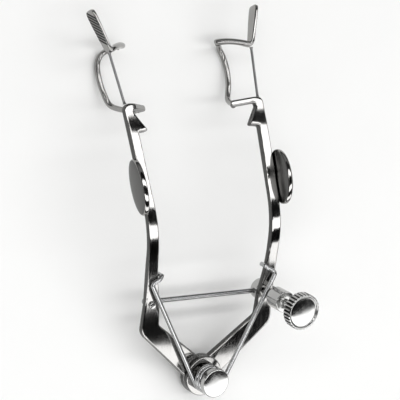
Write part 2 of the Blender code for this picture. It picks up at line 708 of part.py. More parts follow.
def make_cross_rod(parent):
    """The rod, drawn round its own swivel at the left arm, with a flat-topped eye there."""
    bar = cylinder("cross_rod", ROD_RADIUS, 0.0, ROD_END_X + ROD_PIN_X, SMALL_SIDES, axis="X")
    rod = add_object("cross_rod", bar, parent, location=(-ROD_PIN_X, LINK_Y, ROD_HEIGHT))
    eye_low = -ROD_RADIUS - ROD_EYE_LIP
    eye_top = BARREL_TOP - ROD_HEIGHT
    eye = cylinder("rod_eye", ROD_EYE_RADIUS, eye_low, eye_top)
    hole_radius = ROD_PIN_RADIUS + RUNNING_GAP
    hole = cylinder("rod_eye_hole", hole_radius, 2 * eye_low, 2 * eye_top, SMALL_SIDES)
    boolean(rod, add_cutter(eye.name, eye, rod), "UNION")
    boolean(rod, add_cutter(hole.name, hole, rod))
    return rod


def make_rod_pin(left_arm, parent):
    """The slotted screw that holds the rod's eye under the left arm."""
    low = ROD_HEIGHT - ROD_RADIUS - ROD_PIN_TAIL
    bottom = HALF_ARM - ROD_PIN_HEAD_HEIGHT
    seat = bottom + SEAT_GAP
    top = HALF_ARM + ROD_PIN_PROUD
    profile = [
        (0.0, top), (ROD_PIN_HEAD_RADIUS - ROD_PIN_PROUD, top), (ROD_PIN_HEAD_RADIUS, HALF_ARM),
        (ROD_PIN_HEAD_RADIUS, seat), (ROD_PIN_RADIUS, seat), (ROD_PIN_RADIUS, low), (0.0, low),
    ]
    pin = add_object("rod_pin", turned("rod_pin", profile, 28), parent, location=PIN_PLACE, shade=0.7)
    slot_size = (3 * ROD_PIN_HEAD_RADIUS, ROD_PIN_SLOT, 2 * ROD_PIN_SLOT)
    slot = box("pin_slot", slot_size, (0, 0, top))
    boolean(pin, add_cutter("pin_slot", slot, pin, rotation=(0, 0, ROD_PIN_SLOT_TURN)))
    sunk_radius = ROD_PIN_HEAD_RADIUS + SEAT_GAP
    counterbore = cylinder("pin_counterbore", sunk_radius, bottom, 2 * HALF_ARM, 28)
    hole_radius = ROD_PIN_RADIUS + SEAT_GAP
    hole = cylinder("pin_hole", hole_radius, -2 * HALF_ARM, 2 * HALF_ARM, SMALL_SIDES)
    boolean(left_arm, add_cutter("pin_counterbore", counterbore, parent, PIN_PLACE))
    boolean(left_arm, add_cutter("pin_hole", hole, parent, PIN_PLACE))
    return pin


def make_lock_post(right_arm, parent):
    """The swivelling post: a drilled barrel under the arm and a hollow neck through it."""
    profile = [
        (THUMB_BORE, NECK_TOP), (LOCK_NECK_RADIUS, NECK_TOP), (LOCK_NECK_RADIUS, BARREL_TOP),
        (LOCK_BARREL_RADIUS, BARREL_TOP), (LOCK_BARREL_RADIUS, BARREL_LOW + FINE_CHAMFER),
        (LOCK_BARREL_RADIUS - FINE_CHAMFER, BARREL_LOW), (0.0, BARREL_LOW), (0.0, ROD_HEIGHT),
        (THUMB_BORE, ROD_HEIGHT), (THUMB_BORE, NECK_TOP),
    ]
    post = add_object("lock_post", turned("lock_post", profile), parent, LOCK_PLACE, shade=0.6)
    reach = 2 * LOCK_BARREL_RADIUS
    hole_radius = ROD_RADIUS + RUNNING_GAP
    cross_hole = cylinder("cross_hole", hole_radius, -reach, reach, SMALL_SIDES, axis="X")
    boolean(post, add_cutter("cross_hole", cross_hole, post, (0, 0, ROD_HEIGHT)))
    neck_hole_radius = LOCK_NECK_RADIUS + RUNNING_GAP
    neck_hole = cylinder("neck_hole", neck_hole_radius, -2 * HALF_ARM, 2 * HALF_ARM)
    boolean(right_arm, add_cutter("neck_hole", neck_hole, parent, LOCK_PLACE))
    return post


def make_lock_collar(parent):
    """The thick sleeve on the neck, which the thumb screw enters."""
    bore = LOCK_NECK_RADIUS + SEAT_GAP
    lip = NECK_TOP + SEAT_GAP
    shoulder = COLLAR_RADIUS - FINE_CHAMFER
    profile = [
        (THUMB_BORE, COLLAR_TOP), (shoulder, COLLAR_TOP), (COLLAR_RADIUS, COLLAR_TOP - FINE_CHAMFER),
        (COLLAR_RADIUS, COLLAR_START + FINE_CHAMFER), (shoulder, COLLAR_START),
        (bore, COLLAR_START), (bore, lip), (THUMB_BORE, lip), (THUMB_BORE, COLLAR_TOP),
    ]
    return add_object("lock_collar", turned("lock_collar", profile), parent, LOCK_PLACE, shade=0.7)


def make_thumb_screw(parent):
    """The knurled thumb screw: its point bears on the rod inside the barrel."""
    head_low = COLLAR_TOP + THUMB_GAP
    head_top = head_low + THUMB_HEAD_HEIGHT
    point = ROD_HEIGHT + ROD_RADIUS + RUNNING_GAP
    outline = []
    for index in range(4 * KNURL_COUNT):
        radius = THUMB_HEAD_RADIUS if index % 4 < 2 else THUMB_HEAD_RADIUS - KNURL_DEPTH
        angle = 2 * math.pi * index / (4 * KNURL_COUNT)
        outline.append((radius * math.cos(angle), radius * math.sin(angle)))
    head = mesh_from(flat_outline("thumb_head", outline, head_low, head_top), "thumb_screw")
    screw = add_object("thumb_screw", head, parent, LOCK_PLACE, shade=0.65)
    boss_top = head_low + FINE_CHAMFER
    boss_low = head_low - THUMB_BOSS_HEIGHT
    profile = [
        (0.0, boss_top), (THUMB_BOSS_RADIUS, boss_top), (THUMB_BOSS_RADIUS, boss_low),
        (THUMB_SHANK_RADIUS, boss_low), (THUMB_SHANK_RADIUS, point + THUMB_POINT_LENGTH),
        (THUMB_POINT_RADIUS, point), (0.0, point),
    ]
    shank = turned("thumb_shank", profile, 28)
    flat = THUMB_HEAD_RADIUS - THUMB_CHAMFER
    above = head_top + THUMB_CHAMFER
    beyond = THUMB_HEAD_RADIUS + THUMB_CHAMFER
    dish = THUMB_HEAD_RADIUS - THUMB_RIM_WIDTH
    floor = head_top - THUMB_DISH
    face = [
        (0.0, above), (beyond, above), (beyond, head_top - 2 * THUMB_CHAMFER), (flat, head_top),
        (dish, head_top), (dish - THUMB_DISH, floor), (0.0, floor),
    ]
    boolean(screw, add_cutter("thumb_shank", shank, screw), "UNION")
    boolean(screw, add_cutter("thumb_face", turned("thumb_face", face), screw))
    return screw


# Assembly

def vertices_of(items, turn):
    """World positions of the evaluated vertices, with the root turned by an angle."""
    graph = bpy.context.evaluated_depsgraph_get()
    rotation = Matrix.Rotation(turn, 4, "X")
    places = []
    for item in items:
        evaluated = item.evaluated_get(graph)
        mesh = evaluated.to_mesh()
        matrix = rotation @ evaluated.matrix_world
        places += [matrix @ vert.co for vert in mesh.vertices]
        evaluated.to_mesh_clear()
    return places


def resting_tilt(wires, nut):
    """The tilt at which the lid wires and the pivot nut touch the ground together."""
    low_turn = 0.0
    high_turn = math.radians(40.0)
    for _ in range(30):
        turn = (low_turn + high_turn) / 2
        blades = min(place.z for place in vertices_of(wires, turn))
        pivot = min(place.z for place in vertices_of(nut, turn))
        if blades < pivot:
            low_turn = turn
        else:
            high_turn = turn
    return turn


def build():
    root = add_empty("instrument")
    right_side = add_empty("right_side", root)
    frame_place = (0.0, BLADE_FRAME_Y, BLADE_FRAME_Z)
    frame_turn = (-ARM_BEND_ANGLE, 0.0, 0.0)
    left_blade = add_empty("left_blade_frame", root, frame_place, frame_turn)
    right_blade = add_empty("right_blade_frame", right_side, frame_place, frame_turn)
    left_arm = make_arm(LEFT, root)
    right_arm = make_arm(RIGHT, right_side)
    lid_wires = []
    for side, frame in ((LEFT, left_blade), (RIGHT, right_blade)):
        lid_wires.append(make_lid_wire(side, frame))
        make_guard_wire(side, frame)
        make_suture_post(side, frame)
        make_finger_plate(side, frame)
    make_pivot_screw(root)
    nut = make_pivot_nut(root)
    make_spring(root)
    make_cross_rod(root)
    make_rod_pin(left_arm, root)
    make_lock_post(right_arm, right_side)
    make_lock_collar(right_side)
    make_thumb_screw(right_side)
    bpy.context.view_layer.update()
    turn = resting_tilt(lid_wires, [nut])
    shapes = [item for item in PARTS.objects if item.type != "EMPTY"]
    places = vertices_of(shapes, turn)
    middle_x = (min(place.x for place in places) + max(place.x for place in places)) / 2
    middle_y = (min(place.y for place in places) + max(place.y for place in places)) / 2
    root.rotation_euler = (turn, 0.0, 0.0)
    root.location = (-middle_x, -middle_y, -min(place.z for place in places))
    bpy.context.view_layer.update()


build()
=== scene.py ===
"""The looks of a self-retaining eye speculum: two polished arms on a pivot screw, a coil spring
that opens them, a cross rod with its thumb-screw lock, and an open wire blade on each arm's end.
All sizes are in metres.
"""

import json
import math

import bmesh
import bpy
from mathutils import Matrix, Vector


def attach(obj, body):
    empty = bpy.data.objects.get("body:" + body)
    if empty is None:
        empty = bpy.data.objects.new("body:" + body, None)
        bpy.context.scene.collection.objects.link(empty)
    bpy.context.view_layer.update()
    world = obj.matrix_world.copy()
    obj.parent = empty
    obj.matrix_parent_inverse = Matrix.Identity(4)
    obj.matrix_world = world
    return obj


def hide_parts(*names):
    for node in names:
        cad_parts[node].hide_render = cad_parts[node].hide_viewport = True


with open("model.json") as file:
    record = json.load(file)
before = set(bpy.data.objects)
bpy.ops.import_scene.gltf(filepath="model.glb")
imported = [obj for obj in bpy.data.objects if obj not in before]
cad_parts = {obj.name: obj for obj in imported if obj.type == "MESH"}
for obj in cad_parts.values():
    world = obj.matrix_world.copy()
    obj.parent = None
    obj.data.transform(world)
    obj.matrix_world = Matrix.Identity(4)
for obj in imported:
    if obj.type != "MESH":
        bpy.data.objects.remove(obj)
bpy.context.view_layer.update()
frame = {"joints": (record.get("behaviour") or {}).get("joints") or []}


# Table, lamps and camera
# The instrument lies on a plain white table, under long soft lamps with black cards between them,
# so that its polished faces have light and dark to mirror, as in a photographer's studio.

def linear(code):
    """The linear colour of an sRGB hex code."""
    shares = [int(code[place:place + 2], 16) / 255 for place in (1, 3, 5)]
    return tuple([s / 12.92 if s <= 0.04045 else ((s + 0.055) / 1.055) ** 2.4 for s in shares] + [1.0])


def add_node(tree, kind, sockets, **settings):
    """Add a node, with values or links for its sockets."""
    made = tree.nodes.new(kind)
    for name, value in settings.items():
        setattr(made, name, value)
    for socket, value in sockets.items():
        if isinstance(value, bpy.types.NodeSocket):
            tree.links.new(value, made.inputs[socket])
        else:
            made.inputs[socket].default_value = value
    return made


def new_material(name):
    """An empty node material with its Principled shader."""
    material = bpy.data.materials.new(name)
    material.use_nodes = True
    return material, material.node_tree, material.node_tree.nodes["Principled BSDF"]


def two_tones(tree, pattern, first, second):
    """A colour that goes from one to another with a pattern."""
    mix = add_node(tree, "ShaderNodeMix", {"Factor": pattern}, data_type="RGBA")
    mix.inputs["A"].default_value = linear(first)
    mix.inputs["B"].default_value = linear(second)
    return mix.outputs["Result"]


TABLE_SIZE = 3.0
TABLE_WHITE = "#F7F7F6"
TABLE_GRAIN = "#F5F5F4"
STUDIO_LOW = "#262626"
STUDIO_HIGH = "#A0A0A0"
STUDIO_FADE = 0.55

table_material, tree, shader = new_material("white_table_laminate")
grain = add_node(tree, "ShaderNodeTexNoise", {"Scale": 400.0, "Detail": 2.0})
shade = two_tones(tree, grain.outputs["Fac"], TABLE_WHITE, TABLE_GRAIN)
tree.links.new(shade, shader.inputs["Base Color"])
shader.inputs["Roughness"].default_value = 0.7
shader.inputs["Specular IOR Level"].default_value = 0.2

bm = bmesh.new()
bmesh.ops.create_circle(bm, cap_ends=True, segments=96, radius=TABLE_SIZE)
table_mesh = bpy.data.meshes.new("table")
bm.to_mesh(table_mesh)
bm.free()
table_mesh.materials.append(table_material)
table = bpy.data.objects.new("table", table_mesh)
bpy.context.scene.collection.objects.link(table)

# The room is dark near the table and grey overhead, which outlines the turned pieces.
world = bpy.data.worlds.new("studio")
world.use_nodes = True
tree = world.node_tree
direction = add_node(tree, "ShaderNodeTexCoord", {})
height = add_node(tree, "ShaderNodeSeparateXYZ", {"Vector": direction.outputs["Generated"]})
share = add_node(
    tree, "ShaderNodeMapRange", {"Value": height.outputs["Z"], "From Max": STUDIO_FADE},
    interpolation_type="SMOOTHSTEP")
shade = two_tones(tree, share.outputs["Result"], STUDIO_LOW, STUDIO_HIGH)
tree.links.new(shade, tree.nodes["Background"].inputs["Color"])
bpy.context.scene.world = world
bpy.context.scene.view_settings.view_transform = "Standard"


# The lamps and cards are long strips across the table, 1 m from the instrument. Each is placed by
# how far it leans from overhead, towards the blades (+) or the pivot (-).
STRIP_LENGTH = 2.4
STRIP_MIDDLE = 0.1
STRIP_HEIGHT = 1.0


def strip_place(low, high):
    """Where a strip hangs, and its width, between two leans in degrees."""
    lean = math.radians((low + high) / 2)
    width = STRIP_HEIGHT * math.radians(high - low)
    return Matrix.Rotation(-lean, 4, "X") @ Matrix.Translation((STRIP_MIDDLE, 0.0, STRIP_HEIGHT)), width


def add_lamp(name, low, high, brightness):
    """A soft strip lamp between two leans."""
    place, width = strip_place(low, high)
    lamp = bpy.data.lights.new(name, "AREA")
    lamp.shape = "RECTANGLE"
    lamp.size = STRIP_LENGTH
    lamp.size_y = width
    lamp.energy = brightness * math.pi * STRIP_LENGTH * width
    item = bpy.data.objects.new(name, lamp)
    item.matrix_world = place
    bpy.context.scene.collection.objects.link(item)


card_material, tree, shader = new_material("black_felt_card")
fibre = add_node(tree, "ShaderNodeTexNoise", {"Scale": 300.0})
shade = two_tones(tree, fibre.outputs["Fac"], "#0C0C0C", "#161616")
tree.links.new(shade, shader.inputs["Base Color"])
shader.inputs["Roughness"].default_value = 1.0
shader.inputs["Specular IOR Level"].default_value = 0.0


def add_card(name, low, high):
    """A black card between two leans. The polished faces mirror it as their dark bars."""
    place, width = strip_place(low, high)
    bm = bmesh.new()
    bmesh.ops.create_grid(bm, x_segments=1, y_segments=1, size=0.5)
    bmesh.ops.scale(bm, verts=bm.verts, vec=(STRIP_LENGTH, width, 1.0))
    bmesh.ops.transform(bm, matrix=place, verts=bm.verts)
    mesh = bpy.data.meshes.new(name)
    bm.to_mesh(mesh)
    bm.free()
    mesh.materials.append(card_material)
    card = bpy.data.objects.new(name, mesh)
    bpy.context.scene.collection.objects.link(card)


add_card("low_front_card", -88.0, -71.0)
add_lamp("front_lamp", -70.0, -44.5, 2.55)
add_card("front_card", -43.5, -22.0)
add_lamp("middle_lamp", -21.0, -6.0, 3.2)
add_card("middle_card", -5.0, 14.0)
add_lamp("back_lamp", 15.0, 26.5, 3.3)
add_card("back_card", 27.5, 45.0)

# The camera stands where the drawing was seen from, as solved from the two arms' paired points.
camera_data = bpy.data.cameras.new("camera")
camera_data.lens = 226.1
camera_data.clip_start = 0.01
camera = bpy.data.objects.new("camera", camera_data)
camera.location = (-0.30571, -0.01992, 0.47583)
camera.rotation_euler = (math.radians(5.937), math.radians(-32.888), math.radians(-7.079))
bpy.context.scene.collection.objects.link(camera)
bpy.context.scene.camera = camera


# Arms
# Each arm is one steel forging, from a half-lapped knuckle to a hooked barb and a curled end band.
# It is cut flat, eased along its edges, bent down towards the blades and nickel plated; the broad
# faces are polished by hand, and the narrow sides only ground. The sides' colour is also painted
# much darker, as painted shade on the faces that turn away from the light.

RUNNING_GAP = 0.00006
SEAT_GAP = 0.00005
RIGHT = 1
LEFT = -1
PIVOT_SHANK_RADIUS = 0.0015
KNUCKLE_RADIUS = 0.0046
KNUCKLE_HEIGHT = 0.00145
ARM_THICKNESS = 0.0018
HALF_ARM = ARM_THICKNESS / 2
ARM_EDGE_ROUNDING = 0.00038
BEND_START = 0.0294
BEND_RADIUS = 0.021
BEND_ANGLE = math.radians(30.0)
LEG_ROOT = (0.0016, -0.0025)
LEG_TOP = (0.0007, 0.0040)
ELBOW = (0.0173, 0.0112)
ELBOW_OUTER_RADIUS = 0.0030
ELBOW_INNER = (0.0128, 0.0130)
ELBOW_INNER_RADIUS = 0.0009
LINK_Y = 0.0179
SHAFT_LENGTH = 0.0631
SHAFT_LOWER_X = 0.0150
SHAFT_LOWER_WIDTH = 0.0038
SHAFT_MIDDLE_X = 0.0160
SHAFT_MIDDLE_WIDTH = 0.0025
SHAFT_END_X = 0.01735
SHAFT_END_WIDTH = 0.0022
BARB_REACH = 0.0026
BARB_DISTANCE = 0.0067
BARB_LENGTH = 0.0046
BARB_HOOK = 0.0003
BARB_ROUNDING = 0.0004
BARB_ROOT_ROUNDING = 0.0008
BAND_WIDTH = 0.0014
BAND_INNER_X = 0.0109
BAND_END_SHARE = 0.45
BAND_CURL_START = 0.0166
BAND_CURL_RADIUS = 0.0022
BAND_CURL_ANGLE = math.radians(31.0)
ROD_PIN_X = 0.0152
ROD_PIN_RADIUS = 0.0004
ROD_PIN_HEAD_RADIUS = 0.0008
ROD_PIN_HEAD_HEIGHT = 0.0005
LOCK_X = 0.0157
LOCK_NECK_RADIUS = 0.00125

# The instrument is drawn flat round its pivot axis, X across and Y towards the blades, and this
# turns the drawing to how it rests on the table. Past the arms' bend the blades have a second one.
arm_closing = next(joint for joint in frame["joints"] if joint["name"] == "arm_closing")
TILT = math.atan2(-arm_closing["axis"][1], arm_closing["axis"][2])
PIVOT = Matrix.Translation(arm_closing["pos_m"]) @ Matrix.Rotation(TILT, 4, "X")
PIN = PIVOT @ Matrix.Translation((-ROD_PIN_X, LINK_Y, 0.0))
LOCK = PIVOT @ Matrix.Translation((LOCK_X, LINK_Y, 0.0))


def bent(distance, height, start, radius, angle):
    """Where a point of flat stock goes when the stock is bent down past a start distance."""
    run = distance - start
    if run <= 0.0:
        return distance, height
    turn = min(run / radius, angle)
    rest = run - turn * radius
    along = start + (radius + height) * math.sin(turn) + rest * math.cos(turn)
    up = -radius + (radius + height) * math.cos(turn) - rest * math.sin(turn)
    return along, up


BLADE_START = BEND_START + BEND_RADIUS * BEND_ANGLE
BLADE_PLACE = (0.0, *bent(BLADE_START, 0.0, BEND_START, BEND_RADIUS, BEND_ANGLE))
BLADE = PIVOT @ Matrix.Translation(BLADE_PLACE) @ Matrix.Rotation(-BEND_ANGLE, 4, "X")
BAND_TOP_Y = SHAFT_LENGTH - BLADE_START
BAND_CENTRE_Y = BAND_TOP_Y - BAND_WIDTH / 2


def rounded(corners, steps=8):
    """Points of a closed outline whose corners (x, y, radius) are rounded with arcs."""
    points = []
    for index, (x, y, radius) in enumerate(corners):
        here = Vector((x, y))
        to_last = (Vector(corners[index - 1][:2]) - here).normalized()
        to_next = (Vector(corners[(index + 1) % len(corners)][:2]) - here).normalized()
        half_angle = to_last.angle(to_next) / 2
        if radius <= 0.0 or half_angle > math.radians(89.0):
            points.append(here)
            continue
        centre = here + (to_last + to_next).normalized() * (radius / math.sin(half_angle))
        start = here + to_last * (radius / math.tan(half_angle)) - centre
        end = here + to_next * (radius / math.tan(half_angle)) - centre
        sweep = start.angle_signed(end)
        for step in range(steps + 1):
            points.append(centre + Matrix.Rotation(-sweep * step / steps, 2) @ start)
    return points


def shaft_edge(distance, side):
    """The X of a shaft's inner (-1) or outer (+1) edge at a distance along the flat stock."""
    if distance < BEND_START:
        share = (distance - LINK_Y) / (BEND_START - LINK_Y)
        centre = SHAFT_LOWER_X + (SHAFT_MIDDLE_X - SHAFT_LOWER_X) * math.sin(share * math.pi / 2)
        width = SHAFT_MIDDLE_WIDTH + (SHAFT_LOWER_WIDTH - SHAFT_MIDDLE_WIDTH) * (1 - share) ** 2
    else:
        share = (distance - BEND_START) / (SHAFT_LENGTH - BEND_START)
        centre = SHAFT_MIDDLE_X + (SHAFT_END_X - SHAFT_MIDDLE_X) * share
        width = SHAFT_MIDDLE_WIDTH + (SHAFT_END_WIDTH - SHAFT_MIDDLE_WIDTH) * share
    return centre + side * width / 2


def arm_outline():
    """The flat shape of a right arm: leg, elbow, shaft, barb and end band."""
    band_low = SHAFT_LENGTH - BAND_WIDTH
    barb_y = SHAFT_LENGTH - BARB_DISTANCE
    barb_x = shaft_edge(barb_y, -1)
    notch_x = shaft_edge(band_low, -1)
    stations = [LINK_Y + (barb_y - LINK_Y) * step / 24 for step in range(25)]
    end_radius = BAND_WIDTH * BAND_END_SHARE
    corners = [(*LEG_ROOT, 0.0), (*ELBOW, ELBOW_OUTER_RADIUS)]
    corners += [(shaft_edge(y, 1), y, 0.0) for y in stations]
    corners += [
        (shaft_edge(SHAFT_LENGTH, 1), SHAFT_LENGTH, BAND_WIDTH),
        (BAND_INNER_X, SHAFT_LENGTH, end_radius), (BAND_INNER_X, band_low, end_radius),
        (notch_x, band_low, BARB_ROUNDING), (notch_x, barb_y + BARB_LENGTH, BARB_ROOT_ROUNDING),
        (barb_x - BARB_REACH, barb_y + BARB_HOOK, BARB_ROUNDING), (barb_x, barb_y, BARB_ROUNDING),
    ]
    corners += [(shaft_edge(y, -1), y, 0.0) for y in reversed(stations[:-1])]
    return rounded(corners + [(*ELBOW_INNER, ELBOW_INNER_RADIUS), (*LEG_TOP, 0.0)])


def flat_plate(points, low, high):
    """A plate from its outline, filled and extruded between two heights."""
    bm = bmesh.new()
    face = bm.faces.new([bm.verts.new((point[0], point[1], low)) for point in points])
    grown = bmesh.ops.extrude_face_region(bm, geom=[face])
    raised = [item for item in grown["geom"] if isinstance(item, bmesh.types.BMVert)]
    bmesh.ops.translate(bm, verts=raised, vec=(0.0, 0.0, high - low))
    bmesh.ops.recalc_face_normals(bm, faces=bm.faces)
    return bm


def ease_rims(bm, width, segments=4):
    """Round the edges between the flat faces and the walls of a plate."""
    bm.normal_update()
    rims = [edge for edge in bm.edges
            if len({abs(face.normal.z) > 0.9 for face in edge.link_faces}) == 2]
    bmesh.ops.bevel(
        bm, geom=rims, offset=width, offset_type="OFFSET", segments=segments, profile=0.5,
        affect="EDGES", material=-1, clamp_overlap=False)


def slice_across(bm, normal, places):
    """Cut a mesh right across at several places, so that it bends smoothly there."""
    for place in places:
        geometry = list(bm.verts) + list(bm.edges) + list(bm.faces)
        co = Vector(normal) * place
        bmesh.ops.bisect_plane(bm, geom=geometry, dist=1e-7, plane_co=co, plane_no=normal)


def turned(corners, sides=96):
    """A turned shape from its half profile (radius, height, rounding), spun round its own Z."""
    bm = bmesh.new()
    points = rounded(corners, 5)
    places = [bm.verts.new((max(point[0], 0.0), 0.0, point[1])) for point in points]
    edges = [bm.edges.new(pair) for pair in zip(places, places[1:])]
    if corners[0][0] > 0.0:
        edges.append(bm.edges.new((places[-1], places[0])))
    bmesh.ops.spin(
        bm, geom=places + edges, cent=(0, 0, 0), axis=(0, 0, 1), angle=2 * math.pi, steps=sides,
        use_merge=True)
    bmesh.ops.remove_doubles(bm, verts=bm.verts, dist=1e-7)
    bmesh.ops.recalc_face_normals(bm, faces=bm.faces)
    return bm


def round_bar(radius, low, high, sides=96):
    """A plain round bar between two heights, to cut a hole with or to add."""
    return turned([(0.0, high, 0.0), (radius, high, 0.0), (radius, low, 0.0), (0.0, low, 0.0)], sides)


def worked(bm, tool, operation="DIFFERENCE"):
    """One mesh cut by another or united with it, as a new mesh."""
    items = []
    for source in (bm, tool):
        mesh = bpy.data.meshes.new("work")
        source.to_mesh(mesh)
        source.free()
        items.append(bpy.data.objects.new("work", mesh))
        bpy.context.scene.collection.objects.link(items[-1])
    cut = items[0].modifiers.new("cut", "BOOLEAN")
    cut.operation = operation
    cut.solver = "EXACT"
    cut.object = items[1]
    graph = bpy.context.evaluated_depsgraph_get()
    mesh = bpy.data.meshes.new_from_object(items[0].evaluated_get(graph))
    result = bmesh.new()
    result.from_mesh(mesh)
    for item in items:
        bpy.data.objects.remove(item, do_unlink=True)
    return result


def moved(bm, matrix):
    """The mesh itself, moved and turned."""
    bmesh.ops.transform(bm, matrix=matrix, verts=bm.verts)
    return bm


def sided(bm, side):
    """The mesh itself for the right side, or its mirror image for the left."""
    if side == LEFT:
        bmesh.ops.scale(bm, verts=bm.verts, vec=(-1.0, 1.0, 1.0))
        bmesh.ops.reverse_faces(bm, faces=bm.faces)
    return bm


def refinish(bm, chosen):
    """Give the chosen faces the second of their piece's two finishes."""
    bm.normal_update()
    for face in bm.faces:
        if chosen(face):
            face.material_index = 1


def finished(name, bm, place, materials, body):
    """Put a mesh in its place, shade its curves smooth, and let it stand for its CAD node."""
    moved(bm, place)
    bmesh.ops.remove_doubles(bm, verts=bm.verts, dist=5e-7)
    bm.normal_update()
    for face in bm.faces:
        face.smooth = True
    for edge in bm.edges:
        edge.smooth = len(edge.link_faces) == 2 and edge.calc_face_angle(0.0) < math.radians(32.0)
    mesh = bpy.data.meshes.new(name)
    bm.to_mesh(mesh)
    bm.free()
    for material in materials:
        mesh.materials.append(material)
    piece = bpy.data.objects.new(name, mesh)
    bpy.context.scene.collection.objects.link(piece)
    weighted = piece.modifiers.new("flat faces stay flat", "WEIGHTED_NORMAL")
    weighted.keep_sharp = True
    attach(piece, body)
    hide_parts(name.removesuffix("_shown"))
    return piece


def along_grain(tree, turn_back, stretch_by):
    """Places on the object, and the same turned back to the flat drawing and stretched with a grain."""
    where = add_node(tree, "ShaderNodeTexCoord", {}).outputs["Object"]
    turn = add_node(tree, "ShaderNodeMapping", {"Vector": where, "Rotation": (turn_back, 0.0, 0.0)})
    stretch = add_node(
        tree, "ShaderNodeMapping", {"Vector": turn.outputs["Vector"], "Scale": stretch_by})
    return where, stretch.outputs["Vector"]


def finish_metal(tree, shader, gloss, tone, relief):
    """Give a metal its finish. gloss is (pattern, its low and high, the roughness at each), tone is
    (pattern, dark, light) and relief is (pattern, strength, depth)."""
    pattern, low, high, smooth, rough = gloss
    roughness = add_node(
        tree, "ShaderNodeMapRange",
        {"Value": pattern, "From Min": low, "From Max": high, "To Min": smooth, "To Max": rough})
    pattern, strength, depth = relief
    bump = add_node(
        tree, "ShaderNodeBump", {"Height": pattern, "Strength": strength, "Distance": depth})
    tree.links.new(two_tones(tree, *tone), shader.inputs["Base Color"])
    tree.links.new(roughness.outputs["Result"], shader.inputs["Roughness"])
    tree.links.new(bump.outputs["Normal"], shader.inputs["Normal"])
    shader.inputs["Metallic"].default_value = 1.0


def polished_plate(name, along, shine, dark="#969593", light="#A1A09F"):
    """Polished nickel plate on steel: a bright warm grey mirror, a little veiled by the grain of
    the polishing felt along the metal and by handling. The grain is drawn 0.25 mm apart, coarser
    than the real one, so that it shows."""
    material, tree, shader = new_material(name)
    where, felt = along_grain(tree, along, (1.0, 0.06, 1.0))
    grain = add_node(
        tree, "ShaderNodeTexNoise",
        {"Vector": felt, "Scale": 4000.0, "Detail": 1.0, "Roughness": 0.5})
    veil = add_node(
        tree, "ShaderNodeTexNoise",
        {"Vector": where, "Scale": 260.0, "Detail": 4.0, "Roughness": 0.55})
    both = add_node(
        tree, "ShaderNodeMath", {0: grain.outputs["Fac"], 1: veil.outputs["Fac"]},
        operation="MULTIPLY")
    finish_metal(
        tree, shader, (both.outputs["Value"], 0.1, 0.45, shine, shine + 0.08),
        (veil.outputs["Fac"], dark, light), (grain.outputs["Fac"], 0.05, 0.000002))
    return material


plated_arms = polished_plate("polished_nickel_plate", -TILT, 0.06)
# The arms' narrow sides get a much darker colour. It is painted shade on top of their rougher ground
# finish.
sides_with_painted_shade = polished_plate("ground_nickel_plate_sides_painted_shade", -TILT, 0.24, "#50504F", "#5B5B5A")


# Polishing by hand leaves each arm's top face gently rolling, by up to 0.6 mm, and breaks the bars
# of light on it: (distance, half length, slope in degrees) of each rise and fall.
ROLLS = {
    RIGHT: ((0.010, 0.0046, -2.8), (0.0178, 0.002, 2.5), (0.0218, 0.002, -2.4), (0.0282, 0.0032, 3.8),
            (0.0355, 0.0035, -1.9), (0.0455, 0.0018, 4.8), (0.0582, 0.002, -4.6)),
    LEFT: ((0.005, 0.0025, 1.0), (0.0125, 0.003, -3.4), (0.021, 0.0028, 3.8), (0.0285, 0.003, -2.8),
           (0.050, 0.0035, 2.0), (0.0582, 0.0022, -4.4)),
}
SLICE = 0.0005
SIDE_LIMIT = 0.5


def rolling_heights(side):
    """The height of the top face's rolls at each slice along the arm, ending where it began."""
    heights = [0.0]
    count = round(SHAFT_LENGTH / SLICE)
    for step in range(count):
        place = (step + 0.5) * SLICE
        slope = sum(
            lean * math.exp(-((place - middle) / half) ** 2) for middle, half, lean in ROLLS[side])
        heights.append(heights[-1] + SLICE * math.tan(math.radians(slope)))
    level = [height - heights[-1] * step / count for step, height in enumerate(heights)]
    return [height - max(level) for height in level]


def arm_shape(side):
    """A right-hand arm, eased, bent and curled, with the knuckle of its own side at the pivot."""
    bm = flat_plate(arm_outline(), -HALF_ARM, HALF_ARM)
    ease_rims(bm, ARM_EDGE_ROUNDING)
    slice_across(bm, (0, 1, 0), [SLICE * step for step in range(1, round(SHAFT_LENGTH / SLICE))])
    heights = rolling_heights(side)
    band_low = SHAFT_LENGTH - BAND_WIDTH
    curl_length = BAND_CURL_RADIUS * BAND_CURL_ANGLE
    slice_across(bm, (0, 1, 0), [band_low])
    slice_across(bm, (1, 0, 0), [BAND_CURL_START - curl_length * step / 8 for step in range(9)])
    for vert in bm.verts:
        x, y, z = vert.co
        if z > 0.0 and y > 0.0:
            z += heights[min(round(y / SLICE), len(heights) - 1)] * z / HALF_ARM
        if y > band_low - 1e-6 and x < BAND_CURL_START:
            inward, z = bent(-x, z, -BAND_CURL_START, BAND_CURL_RADIUS, BAND_CURL_ANGLE)
            x = -inward
        along, up = bent(y, z, BEND_START, BEND_RADIUS, BEND_ANGLE)
        vert.co = (x, along, up)
    split = side * RUNNING_GAP / 2
    outer = side * KNUCKLE_HEIGHT
    beyond = -side * 2 * KNUCKLE_HEIGHT
    bm = worked(bm, round_bar(KNUCKLE_RADIUS + 2 * RUNNING_GAP, min(split, beyond), max(split, beyond)))
    disc = [
        (0.0, split, 0.0), (KNUCKLE_RADIUS, split, 0.0001), (KNUCKLE_RADIUS, outer, 0.00025),
        (0.0, outer, 0.0)]
    bm = worked(bm, turned(disc), "UNION")
    bore = PIVOT_SHANK_RADIUS + RUNNING_GAP
    return worked(bm, round_bar(bore, -2 * KNUCKLE_HEIGHT, 2 * KNUCKLE_HEIGHT))


def is_side(face):
    """Whether a face of an arm is on its narrow sides, which are ground, a little rougher, and painted
    darker as painted shade.
    """
    place = (face.calc_center_median().y - BEND_START) / BEND_RADIUS
    turn = math.asin(min(max(place, 0.0), math.sin(BEND_ANGLE)))
    return abs(face.normal.y * math.sin(turn) + face.normal.z * math.cos(turn)) < SIDE_LIMIT


